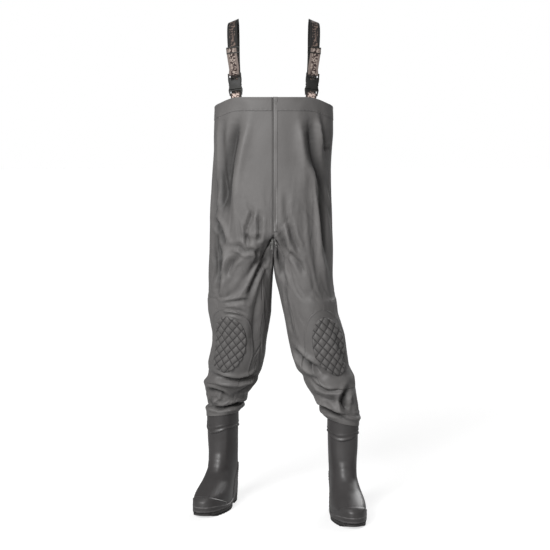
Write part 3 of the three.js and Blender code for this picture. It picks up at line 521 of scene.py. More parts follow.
@dataclass(frozen=True)
class Quilt(Finish):
    """Padded cloth sewn in diamonds, paler where it is rubbed.

    Attributes:
        channel: colour down in the sewn channels.
    """

    channel: Triple = (52, 50, 50)

    def build(self, effects: Effects) -> Material:
        """The finished material; the UV map counts the diamonds."""
        material = super().build(effects)
        graph, shader, base = self.reopen(material)
        where = graph.node("ShaderNodeTexCoord")
        split = graph.node("ShaderNodeSeparateXYZ", Vector=where.outputs["UV"])
        waves = []
        for operation in ("ADD", "SUBTRACT"):
            line = graph.math(operation, split.outputs["X"], split.outputs["Y"])
            wave = graph.math("SINE", graph.math("MULTIPLY", line, math.pi))
            waves.append(graph.math("ABSOLUTE", wave))
        sewn = graph.ramp(graph.math("MINIMUM", *waves), 0.05, 0.42)
        graph.feed(shader, "Base Color", graph.mix(sewn, srgb(*self.channel), base))
        return material


@dataclass(frozen=True)
class SoleRubber(Finish):
    """Rubber whose cleats are darker than its side.

    Attributes:
        cleat: colour of the cleats.
        line: height of the cleats, in metres.
    """

    cleat: Triple = (26, 25, 25)
    line: float = 0.0055

    def build(self, effects: Effects) -> Material:
        """The finished material."""
        material = super().build(effects)
        graph, shader, base = self.reopen(material)
        where = graph.node("ShaderNodeTexCoord")
        split = graph.node("ShaderNodeSeparateXYZ", Vector=where.outputs["Object"])
        side = graph.ramp(split.outputs["Z"], self.line, self.line + 0.001)
        graph.feed(shader, "Base Color", graph.mix(side, srgb(*self.cleat), base))
        return material


@dataclass(frozen=True)
class CoatedCloth(Finish):
    """Coated cloth with the fine crumpling of a stiff face, painted shade in its folds and a painted
    highlight on its ridges.

    Attributes:
        crumple: depth of the crumpling, in millimetres.
        painted_valley_shade: share of the light that the painted shade leaves in the deepest folds.
        smooth_above: height above which it fades, in metres.
    """

    crumple: float = 1.1
    painted_valley_shade: float = 0.36
    smooth_above: float = 0.84

    def build(self, effects: Effects) -> Material:
        """The finished material."""
        material = super().build(effects)
        graph, shader, base = self.reopen(material)
        where = graph.node("ShaderNodeTexCoord")
        split = graph.node("ShaderNodeSeparateXYZ", Vector=where.outputs["Object"])
        upper = graph.ramp(split.outputs["Z"], self.smooth_above, self.smooth_above + 0.2)
        lower = graph.math("SUBTRACT", 1.15, upper)
        crumple = graph.node("ShaderNodeGroup")
        crumple.node_tree = effects.crumple
        graph.feed(crumple, "Vector", where.outputs["Object"])
        height = graph.math("MULTIPLY", crumple.outputs["Height"], lower)
        fine = shader.inputs["Normal"].links[0].from_socket
        relief = graph.node("ShaderNodeBump", Height=height, Distance=self.crumple * MM, Strength=1.0,
                            Normal=fine)
        graph.feed(shader, "Normal", relief.outputs["Normal"])
        # Painted light: the relief in the fold attribute darkens the colour down in the valleys as painted
        # shade.
        fold = graph.node("ShaderNodeAttribute")
        fold.attribute_name = "fold"
        depth = graph.ramp(graph.math("MULTIPLY", fold.outputs["Fac"], -1.0), 0.0, 17.0)
        # Painted highlight: raised folds are lightened by up to 12 per cent.
        proud = graph.ramp(fold.outputs["Fac"], 0.5, 8.0)
        shade = graph.math("MULTIPLY_ADD", depth, self.painted_valley_shade - 1.0, 1.0)
        shade = graph.math("MULTIPLY_ADD", proud, 0.12, shade)
        tone = graph.node("ShaderNodeCombineColor", Red=shade, Green=shade, Blue=shade)
        graph.feed(shader, "Base Color", graph.mix(1.0, base, tone.outputs["Color"], "MULTIPLY"))
        return material


class Coat(Enum):
    """The finishes of the object."""

    FABRIC = CoatedCloth(
        "coated_fabric", (94, 92, 91), (101, 99, 98), roughness=(0.55, 0.66), grain=(700, 0.03),
        patch=7, sheen=0.04, weave=650, specular=0.4
    )
    PATCH = Finish(
        "welded_patch", (90, 88, 87), (97, 95, 94), roughness=(0.5, 0.62), grain=(700, 0.03), patch=12,
        sheen=0.05, weave=650
    )
    PAD = Quilt(
        "quilted_pad", (84, 82, 81), (93, 91, 90), roughness=(0.55, 0.66), grain=(420, 0.06), patch=12,
        sheen=0.05, wear=(108, 106, 105)
    )
    TAPE = Finish(
        "seam_tape", (97, 95, 94), (103, 101, 100), roughness=(0.42, 0.52), grain=(500, 0.02),
        patch=15
    )
    BOOT = Finish(
        "boot_pvc", (58, 56, 56), (66, 64, 64), roughness=(0.38, 0.48), grain=(260, 0.05), patch=9,
        coat=0.05, wear=(90, 88, 88), specular=0.42
    )
    BOOT_GRAIN = Finish(
        "boot_pvc_grained", (62, 60, 60), (76, 73, 73), roughness=(0.4, 0.55), grain=(180, 0.35),
        patch=90, wear=(126, 123, 123)
    )
    SOLE = SoleRubber(
        "sole_rubber", (44, 43, 43), (58, 56, 56), roughness=(0.55, 0.75), grain=(300, 0.08), patch=30,
        wear=(92, 90, 88)
    )
    RAND = Finish(
        "rand_rubber", (70, 68, 68), (82, 80, 80), roughness=(0.4, 0.55), grain=(300, 0.04), patch=25,
        wear=(126, 124, 124)
    )
    INSOLE = Finish(
        "insole_felt", (120, 112, 98), (146, 137, 120), roughness=(0.9, 1.0), grain=(1500, 0.3),
        patch=30, sheen=0.3
    )
    LINING = Finish(
        "taped_lining", (128, 127, 125), (146, 145, 142), roughness=(0.6, 0.75), grain=(900, 0.04),
        patch=14, sheen=0.15, weave=500
    )
    PLASTIC = Finish(
        "buckle_plastic", (24, 24, 23), (33, 33, 31), roughness=(0.5, 0.6), grain=(450, 0.03),
        patch=60, wear=(52, 52, 49), specular=0.3
    )
    WEBBING = PrintedWebbing(
        "webbing_face", ground=(27, 22, 21), figure=(106, 90, 82), cover=(0.49, 0.6), edge_share=0.2
    )
    REVERSE = PrintedWebbing(
        "webbing_reverse", ground=(150, 137, 128), figure=(44, 28, 26), edge=(112, 100, 94),
        cover=(0.46, 0.5), edge_share=0.2, blots=170.0
    )
    TAB = PrintedWebbing(
        "webbing_tab", ground=(70, 55, 51), figure=(196, 176, 166), edge=(52, 42, 39),
        cover=(0.44, 0.5), edge_share=0.12
    )


# ---------------------------------------------------------------- the garment's surface


@dataclass(frozen=True)
class Stance:
    """Where a boot stands: shaft axis out from the seam, depth, and how far the toe turns out."""

    sign: int
    x: float
    y: float
    toe_out: float


@dataclass(frozen=True)
class Crease:
    """A fold along a line on the garment.

    Attributes:
        line: places from the front: out from the seam and height, in millimetres; or, with
            behind set, on the back.
        depth: how deep it sinks in; a negative depth stands proud.
        width: half its width.
        ridge: share of the depth that stands up beside it.
        behind: whether it is on the back.
    """

    line: tuple[Pair, ...]
    depth: float
    width: float
    ridge: float = 0.35
    behind: bool = False


@dataclass(frozen=True)
class Gather:
    """A fold that runs round a leg.

    Attributes:
        height: its height on the leg.
        swell: how far it stands out; negative sinks in.
        width: half its height.
        tilt: how much higher it is on one side than in the middle.
        heading: that side, in degrees: 0 is the front and 90 the outside.
        reach: share of the leg that it is strong on, about its heading; 1 is all round.
    """

    height: float
    swell: float
    width: float
    tilt: float = 0.0
    heading: float = 90.0
    reach: float = 1.0


@dataclass
class Half:
    """One half of the garment: a tube from the hem down to the boot.

    A place on it has a height and a turn: 0 at the front seam, round the outer side to 1 at
    the back seam, and on to 2 along the seam side, which is the inside of the leg.
    """

    name: str
    stance: Stance
    width: tuple[Pair, ...]
    leg: tuple[tuple[float, float, float, float, float], ...]
    gathers: tuple[Gather, ...]
    cuff_tilt: Pair

    half_width: float = 190.0
    half_depth: float = 128.0
    depth: tuple[Pair, ...] = ((-0.2, 0.9), (0.15, 1.0), (0.38, 1.02), (0.76, 1.0), (1.0, 0.975))
    squareness: float = 2.3

    def __post_init__(self) -> None:
        """Makes the smoothed tables."""
        boot = self.stance
        low = [
            (BOOT_TOP - 10, boot.x, boot.y, 47.5, 60.5),
            (BOOT_TOP + 3, boot.x, boot.y, 47.5, 60.5),
            (BOOT_TOP + 14, boot.x - 6, boot.y - 3 * boot.sign, 57, 67),
            (LEG_END, boot.x - 14, boot.y - 6 * boot.sign, 60, 69),
        ]
        rows = low + [(LEG_END + 365 * p, x, y, a, b) for p, x, y, a, b in self.leg]
        self.columns = [Profile(tuple((row[0], row[i]) for row in rows), 7.0) for i in range(1, 5)]
        self.torso_width = Profile(self.width, 0.045)
        self.torso_depth = Profile(self.depth, 0.045)

    @property
    def sign(self) -> int:
        """1 on the wearer's left, -1 on the right."""
        return self.stance.sign

    def angle(self, turn: Array) -> Array:
        """Direction round the leg, in degrees: 0 is the front and 90 the outside."""
        return np.where(turn <= 1, 270 * turn - 45, 225 + 90 * (turn - 1))

    def fork_top(self, turn: Array) -> Array:
        """Height at which the seam side closes: a saddle, lowest in the middle."""
        front, back = 848.0, 832.0
        saddle = 746 + (np.where(turn > 1.5, front, back) - 746) * np.abs(2 * (turn - 1) - 1) ** 2.6
        near_front = (front - 800) * (1 - smoothstep(turn, 0.0, 0.13))
        near_back = (back - 800) * smoothstep(turn, 0.87, 1.0)
        near = near_front + near_back
        return np.where(turn > 1, saddle, 800.0 + near)

    def ring(self, z: Array, turn: Array) -> Array:
        """Points of the plain surface, before any fold, about the seam in millimetres."""
        inner = turn > 1
        angle = np.radians(self.angle(turn))
        cx, cy, a, b = (column.at(z) for column in self.columns)
        out, along = a * np.sin(angle), -b * np.cos(angle)
        snug = 1 - smoothstep(z, BOOT_TOP + 4, LEG_END)
        out_boot, along_boot = a * power(np.sin(angle), 0.87), -b * power(np.cos(angle), 0.93)
        turned = math.radians(self.stance.toe_out)
        out = out + (out_boot * math.cos(turned) - along_boot * math.sin(turned) - out) * snug
        along = along + (out_boot * math.sin(turned) + along_boot * math.cos(turned) - along) * snug
        leg_x, leg_y = cx + out, cy + along
        place = (z - FORK) / 485
        wide = self.half_width * self.torso_width.at(place)
        deep = self.half_depth * self.torso_depth.at(place)
        round_ = np.pi * np.minimum(turn, 1)
        rounding = 2 / self.squareness
        seam_y = deep * (1 - 2 * (turn - 1))
        body_x = np.where(inner, 0.0, wide * power(np.sin(round_), rounding))
        body_y = np.where(inner, seam_y, -deep * power(np.cos(round_), rounding))
        top = self.fork_top(turn)
        share = smoothstep(z, top - 82, top)
        x = leg_x + (body_x - leg_x) * share
        y = leg_y + (body_y - leg_y) * share
        return stack(self.sign * x, y, z)

    def hem_drop(self, turn: Array) -> Array:
        """How far the hem lies below its front, round the garment."""
        turn = np.where(turn > 1, 2 - turn, turn)
        side = HEM_SIDE_DROP * (0.72 * smoothstep(turn, 0.17, 0.43) + 0.28 * smoothstep(turn, 0.38, 0.52))
        return side + (HEM_BACK_DROP - HEM_SIDE_DROP) * smoothstep(turn, 0.55, 0.85)

    def height(self, nominal: Array, turn: Array) -> Array:
        """Height of a row: rows near the top follow the hem, and those near the boot its tilt."""
        drop = smoothstep(nominal, FORK + 50, HEM_FRONT) * self.hem_drop(turn)
        amount, heading = self.cuff_tilt
        tilt = amount * np.cos(np.radians(self.angle(turn) - heading))
        return nominal - drop + tilt * (1 - smoothstep(nominal, BOOT_TOP, LEG_END + 60))

    def normal(self, z: Array, turn: Array) -> Array:
        """Outward directions of the plain surface."""
        step, rise = 0.006, 3.0
        turn_low = np.where(turn <= 1, np.maximum(turn - step, 0), np.maximum(turn - step, 1.0001))
        turn_high = np.where(turn <= 1, np.minimum(turn + step, 1), np.minimum(turn + step, 2))
        across = self.ring(z, turn_high) - self.ring(z, turn_low)
        up = self.ring(z + rise, turn) - self.ring(z - rise, turn)
        return unit(np.cross(across, up) * self.sign)

    def turn_at(self, x: float, z: float, behind: bool = False) -> float:
        """The turn at which the surface, seen from the front or behind, is this far from the seam."""
        turns = np.linspace(0.5, 1.45, 200) if behind else np.linspace(-0.45, 0.52, 200)
        points = self.ring(np.full(200, float(z)), np.where(turns < 0, turns + 2, turns))
        nearest = turns[np.argmin(np.abs(points[:, 0] - x))]
        return float(nearest + 2 if nearest < 0 else nearest)


class Garment:
    """Both halves, with the folds that lie over them."""

    def __init__(self, halves: dict[str, Half], creases: Sequence[Crease]) -> None:
        """Places the folds on the surface.

        Args:
            halves: the halves by side.
            creases: the folds.
        """
        self.halves = halves
        self.lines = [(crease, self._trace(crease)) for crease in creases]
        self.fold = self.base = self.turn = np.zeros(0)

    def _trace(self, crease: Crease) -> Array:
        """A fold's line on the plain surface: points, with how strong the fold is at each."""
        spots = np.array(crease.line, float)
        lengths = np.concatenate([[0], np.cumsum(np.linalg.norm(np.diff(spots, axis=0), axis=1))])
        steps = np.linspace(0, lengths[-1], max(int(lengths[-1] / 4), 6))
        xs, zs = (np.interp(steps, lengths, spots[:, i]) for i in (0, 1))
        kernel = np.array([1, 2, 3, 2, 1]) / 9
        xs[2:-2] = np.convolve(xs, kernel, "valid")
        zs[2:-2] = np.convolve(zs, kernel, "valid")
        half = self.halves["left" if spots[:, 0].mean() >= 0 else "right"]
        turns = np.array([half.turn_at(x, z, crease.behind) for x, z in zip(xs, zs)])
        points = half.ring(zs, turns)
        share = steps / lengths[-1]
        strength = smoothstep(share, 0.0, 0.3) * (1 - smoothstep(share, 0.7, 1.0)) * 0.85 + 0.15
        return np.column_stack([points, strength])

    def relief(self, half: Half, points: Array, turn: Array) -> Array:
        """How far the folds lift the surface at each point, in millimetres."""
        total = np.zeros(len(points))
        for crease, line in self.lines:
            low, high = line[:, :3].min(0) - 3.2 * crease.width, line[:, :3].max(0) + 3.2 * crease.width
            near = np.nonzero(np.all((points > low) & (points < high), axis=1))[0]
            if not len(near):
                continue
            gaps = np.linalg.norm(points[near, None, :] - line[None, :, :3], axis=2)
            nearest = gaps.argmin(1)
            gap, strength = gaps[np.arange(len(near)), nearest], line[nearest, 3]
            valley = np.exp(-((gap / crease.width) ** 1.3))
            beside = bump(gap, 1.9 * crease.width, 0.8 * crease.width)
            total[near] += crease.depth * strength * (crease.ridge * beside - valley)
        angle = np.radians(half.angle(turn))
        for gather in half.gathers:
            facing = np.cos(angle - math.radians(gather.heading))
            strength = 1.0 if gather.reach >= 1 else smoothstep(facing, 0.6 - 1.6 * gather.reach, 1.0)
            strength = strength * (0.8 + 0.35 * np.sin(2 * angle + gather.height))
            centre = gather.height + gather.tilt * facing
            total += gather.swell * strength * bump(points[:, 2], centre, gather.width)
        return total + self._unevenness(points)

    @staticmethod
    def _unevenness(points: Array) -> Array:
        """The slight unevenness of hanging cloth."""
        x, y, z = points.T
        warp = 22 * np.sin(z / 71 + x / 53) + 15 * np.sin(y / 37 - z / 113)
        soft = np.sin((x + warp) / 31 + 0.7) * np.sin((z + 2 * warp) / 88)
        small = np.sin((x - 0.6 * y + warp) / 13.5) * np.sin((z - warp) / 41 + 1.3)
        return 1.9 * soft + 0.7 * small

    def surface(self, half: Half, nominal: Array, turn: Array, offset: Array | float = 0.0) -> Array:
        """Points of the folded surface.

        Args:
            half: which half.
            nominal: row heights.
            turn: places round it.
            offset: distance out from the fabric's face.

        Returns:
            Points about the seam, in millimetres.
        """
        z = half.height(nominal, turn)
        inner = turn > 1
        z = np.where(inner, np.minimum(z, half.fork_top(turn)), z)
        base = half.ring(z, turn)
        normal = half.normal(z, turn)
        seam = (np.abs(base[:, 0]) < 0.05) & (z >= half.fork_top(turn) - 0.01)
        normal[seam, 0] = 0
        fade = smoothstep(nominal, BOOT_TOP + 2, BOOT_TOP + 20)
        self.fold = self.relief(half, base, turn) * fade
        self.base, self.turn = base, turn
        lift = self.fold + offset
        moved = base + unit(normal) * lift[:, None]
        moved[seam, 0] = 0
        outward = half.sign * moved[:, 0]
        moved[:, 0] = half.sign * np.maximum(outward, 0)
        return moved


LEFT = Half(
    "left", Stance(1, 206, -10, 8),
    ((-0.2, 0.95), (0.15, 0.95), (0.38, 0.92), (0.58, 0.865), (0.76, 0.92), (1.0, 0.895)),
    ((0.14, 170, -11, 71, 75), (0.22, 163, -12, 79, 79), (0.31, 145, -13, 79, 81), (0.39, 136, -14, 84, 84),
     (0.56, 126, -15, 85, 92), (0.73, 112, -12, 78, 102), (1.0, 94, -8, 86, 110)),
    (Gather(296, 5, 8, -8, 90), Gather(316, -5, 7, -14, 70), Gather(336, 4, 11, -10, 70),
     Gather(356, -4, 8, 6, 180, 0.7), Gather(392, 4, 12, 0, 90, 0.4), Gather(412, -5, 10, 8, -90, 0.6),
     Gather(436, 4, 13, 6, -90, 0.6),
     Gather(468, -4, 10, 10, 180, 0.5), Gather(505, 4, 16, 10, 180, 0.5)),
    (-13.0, 70.0),
)
RIGHT = Half(
    "right", Stance(-1, 155, 115, 17),
    ((-0.2, 1.03), (0.15, 1.03), (0.38, 1.015), (0.58, 0.97), (0.76, 0.92), (1.0, 0.895)),
    ((0.12, 134, 88, 75, 77), (0.22, 117, 68, 77, 80), (0.31, 114, 54, 85, 83), (0.39, 105, 45, 85, 86),
     (0.56, 98, 28, 81, 92), (0.73, 99, 15, 95, 100), (1.0, 101, 5, 97, 108)),
    (Gather(298, 6, 8, 2, 90), Gather(312, -6, 6, 3, -90), Gather(333, 4, 11, 4, 90),
     Gather(346, -4, 8, 6, -120, 0.7), Gather(381, 6, 12, 2, 90, 0.8), Gather(404, -6, 9, 4, -90, 0.8),
     Gather(432, 4, 14, 6, 180, 0.5),
     Gather(455, -4, 10, 8, 180, 0.5), Gather(490, 4, 16, 10, 180, 0.5)),
    (6.0, -100.0),
)
# turns at the middle of each knee patch
LEFT_KNEE, RIGHT_KNEE = 0.26, 0.25

CREASES = (
    # the bib, wearer's right: drapes from below the strap
    Crease(((-96, 1194), (-111, 1130), (-125, 1072), (-138, 1010), (-144, 948), (-144, 880)), 19, 17, 0.42),
    Crease(((-140, 1190), (-148, 1090), (-158, 980), (-160, 890)), 15, 30, 0.05),
    Crease(((-158, 1180), (-166, 1063), (-176, 986)), -9, 10, 0.2),
    Crease(((-163, 1040), (-155, 962), (-164, 896)), 9, 10, 0.4),
    Crease(((-74, 1180), (-88, 1080), (-100, 980), (-108, 890)), -6, 17, 0.1),
    # hip and thigh, wearer's right
    Crease(((-188, 886), (-164, 850), (-144, 803)), 14, 11, 0.5),
    Crease(((-172, 900), (-176, 840), (-178, 770), (-180, 690)), 16, 24, 0.1),
    Crease(((-142, 820), (-145, 753), (-146, 706), (-154, 640)), -9, 10, 0.35),
    Crease(((-176, 824), (-163, 770), (-169, 711), (-165, 648)), 12, 10, 0.4),
    Crease(((-186, 800), (-180, 740), (-184, 690)), 4, 7, 0.4),
    # fork, wearer's right
    Crease(((-41, 905), (-41, 849), (-45, 810)), 11, 6, 0.6),
    Crease(((-78, 876), (-80, 841), (-76, 806)), 9, 6, 0.6),
    Crease(((-57, 915), (-68, 887), (-76, 860)), 9, 6, 0.6),
    Crease(((-144, 806), (-99, 814), (-88, 795), (-72, 801), (-34, 789)), 12, 6, 0.6),
    Crease(((-94, 792), (-130, 760), (-146, 713)), 11, 7, 0.6),
    Crease(((-16, 785), (-41, 739), (-63, 689), (-72, 648)), 11, 8, 0.5),
    Crease(((-45, 800), (-53, 760)), 10, 6, 0.6),
    Crease(((-30, 770), (-60, 730), (-98, 690)), -3, 8, 0.2),
    Crease(((-18, 840), (-60, 826), (-104, 842)), 5, 7, 0.5),
    Crease(((-52, 715), (-64, 677), (-71, 635)), 4, 12, 0.3),
    # beside the seam below the fork, and down the side of the bib, wearer's right
    Crease(((-6, 836), (-8, 790), (-10, 735)), 13, 9, 0.0),
    Crease(((-176, 1010), (-180, 940), (-182, 880)), 9, 14, 0.2),
    # the seam sinks in towards the fork
    Crease(((0.5, 930), (0.5, 880), (0.5, 850)), 6, 10, 0.3),
    # the bib, wearer's left
    Crease(((138, 1190), (146, 1090), (158, 980), (164, 860)), 9, 30, 0.05),
    Crease(((102, 1190), (107, 1130), (117, 1068), (140, 1018), (162, 950)), 19, 16, 0.4),
    Crease(((127, 1184), (135, 1130), (143, 1083)), -8, 9, 0.3),
    Crease(((144, 1086), (169, 1092)), 6, 6, 0.4),
    Crease(((113, 1018), (119, 964), (131, 890), (141, 793), (154, 743), (172, 677)), -9, 14, 0.3),
    Crease(((134, 1010), (146, 930), (152, 860), (160, 770)), 12, 14, 0.3),
    Crease(((76, 1180), (84, 1060), (92, 950)), -6, 17, 0.1),
    Crease(((150, 1010), (168, 940), (176, 900)), -7, 10, 0.4),
    # fork, wearer's left: the first runs beside the seam
    Crease(((6, 836), (8, 790), (10, 735)), 13, 9, 0.0),
    Crease(((17, 862), (28, 818), (44, 776)), 12, 7, 0.6),
    Crease(((44, 890), (57, 833), (82, 786)), 11, 7, 0.6),
    Crease(((36, 968), (37, 910), (40, 862)), 5, 8, 0.4),
    Crease(((9, 987), (8, 918), (5, 860)), 2.5, 6, 0.4),
    Crease(((13, 801), (20, 747), (40, 677)), 11, 9, 0.4),
    Crease(((30, 800), (70, 770), (96, 724)), 9, 7, 0.5),
    # down the inner thigh, and beside both knees
    Crease(((-34, 700), (-52, 620), (-60, 540), (-50, 470)), 8, 12, 0.2),
    Crease(((-170, 560), (-176, 500), (-188, 440)), 7, 10, 0.3),
    Crease(((176, 560), (196, 500), (214, 450)), 6, 10, 0.3),
    # knees
    Crease(((-160, 626), (-125, 623), (-90, 616), (-66, 602)), 5, 4, 0.7),
    Crease(((-150, 605), (-119, 607), (-87, 596)), 2.5, 4, 0.7),
    Crease(((-161, 634), (-125, 643), (-87, 649), (-62, 638)), 7, 6, 0.6),
    Crease(((21, 715), (40, 639), (49, 576), (65, 519)), 9, 9, 0.4),
    # below the knee, wearer's right
    Crease(((-190, 412), (-152, 402), (-104, 396), (-65, 409), (-38, 434)), 20, 9, 0.5),
    Crease(((-206, 350), (-180, 364), (-152, 354), (-138, 334)), 13, 8, 0.5),
    Crease(((-178, 352), (-188, 330), (-196, 306)), 9, 7, 0.4),
    Crease(((-163, 366), (-156, 349), (-181, 318)), -6, 5, 0.3),
    Crease(((-43, 424), (-65, 386), (-91, 364), (-116, 346)), 13, 9, 0.5),
    Crease(((-196, 320), (-175, 307), (-156, 301), (-133, 310), (-107, 313), (-78, 314)), 19, 8, 0.4),
    # below the knee, wearer's left
    Crease(((52, 508), (87, 469), (118, 447), (144, 431)), 19, 10, 0.5),
    Crease(((98, 421), (125, 394), (156, 379), (191, 382), (215, 391)), 6, 5, 0.7),
    Crease(((226, 392), (206, 358), (212, 334), (228, 319)), 20, 10, 0.45),
    Crease(((128, 331), (166, 317), (194, 298), (230, 283)), 20, 10, 0.4),
    Crease(((112, 372), (150, 352), (188, 348)), 9, 9, 0.5),
    Crease(((96, 470), (140, 430), (196, 420), (228, 430)), 10, 20, 0.1),
    Crease(((120, 402), (160, 366), (206, 344), (236, 352)), 8, 12, 0.3),
    # behind
    Crease(((96, 1150), (108, 1060), (120, 960), (118, 880)), 8, 14, 0.4, True),
    Crease(((-96, 1150), (-104, 1050), (-122, 970), (-128, 880)), 8, 14, 0.4, True),
    Crease(((0.5, 900), (0.5, 866), (0.5, 834)), 6, 12, 0.3, True),
    Crease(((20, 850), (60, 810), (110, 800)), 6, 8, 0.5, True),
    Crease(((-18, 840), (-56, 806), (-112, 790)), 6, 8, 0.5, True),
    Crease(((36, 780), (80, 748), (128, 746)), 5, 9, 0.5, True),
    Crease(((-30, 770), (-84, 738), (-130, 742)), 5, 9, 0.5, True),
    Crease(((30, 980), (34, 920), (28, 870)), 4, 9, 0.4, True),
    Crease(((-34, 1000), (-30, 930), (-36, 880)), 4, 9, 0.4, True),
    Crease(((60, 570), (100, 548), (150, 560)), 6, 8, 0.5, True),
    Crease(((70, 530), (110, 520), (160, 534)), 6, 7, 0.5, True),
    Crease(((-60, 570), (-100, 548), (-150, 560)), 6, 8, 0.5, True),
    Crease(((-66, 520), (-104, 512), (-150, 528)), 6, 7, 0.5, True),
)


@dataclass(frozen=True)
class Settling:
    """Lets the loose parts of the cloth hang under their own weight by simulation.

    Attributes:
        frames: steps of the simulation.
        reach: the furthest that a point may move, in millimetres.
        mass: mass of a vertex, in kilograms.
        stretch: stiffness against stretching.
        bend: stiffness against bending.
    """

    frames: int = 12
    reach: float = 7.0
    mass: float = 0.3
    stretch: float = 14.0
    bend: float = 0.6

    def run(self, piece: Piece, held: Array) -> None:
        """Settles a piece.

        Args:
            piece: the cloth.
            held: how firmly each vertex is held, 0 to 1.
        """
        scene = bpy.context.scene
        group = piece.vertex_groups.new(name="held")
        for level in range(11):
            group.add(np.nonzero(np.round(held * 10) == level)[0].tolist(), level / 10, "REPLACE")
        cloth = piece.modifiers.new("cloth", "CLOTH")
        cloth.settings.quality = 4
        cloth.settings.mass = self.mass
        cloth.settings.tension_stiffness = self.stretch
        cloth.settings.compression_stiffness = self.stretch
        cloth.settings.shear_stiffness = self.stretch / 2
        cloth.settings.bending_stiffness = self.bend
        cloth.settings.vertex_group_mass = group.name
        cloth.collision_settings.use_collision = False
        cloth.point_cache.frame_start = 1
        cloth.point_cache.frame_end = self.frames
        for step in range(1, self.frames + 1):
            scene.frame_set(step)
        hung = piece.evaluated_get(bpy.context.evaluated_depsgraph_get()).data
        before, after = (np.empty(len(held) * 3) for _ in range(2))
        piece.data.vertices.foreach_get("co", before)
        hung.vertices.foreach_get("co", after)
        moved = (after - before).reshape(-1, 3)
        length = np.linalg.norm(moved, axis=1, keepdims=True)
        cap = self.reach * MM
        moved *= cap * np.tanh(length / cap) / np.maximum(length, 1e-9) * (1 - held[:, None])
        piece.modifiers.remove(cloth)
        piece.vertex_groups.remove(group)
        piece.data.vertices.foreach_set("co", before + moved.ravel())
        piece.data.update()
        scene.frame_set(1)
        log.info("%s settled by up to %.1f mm", piece.name, float(np.linalg.norm(moved, axis=1).max()) / MM)


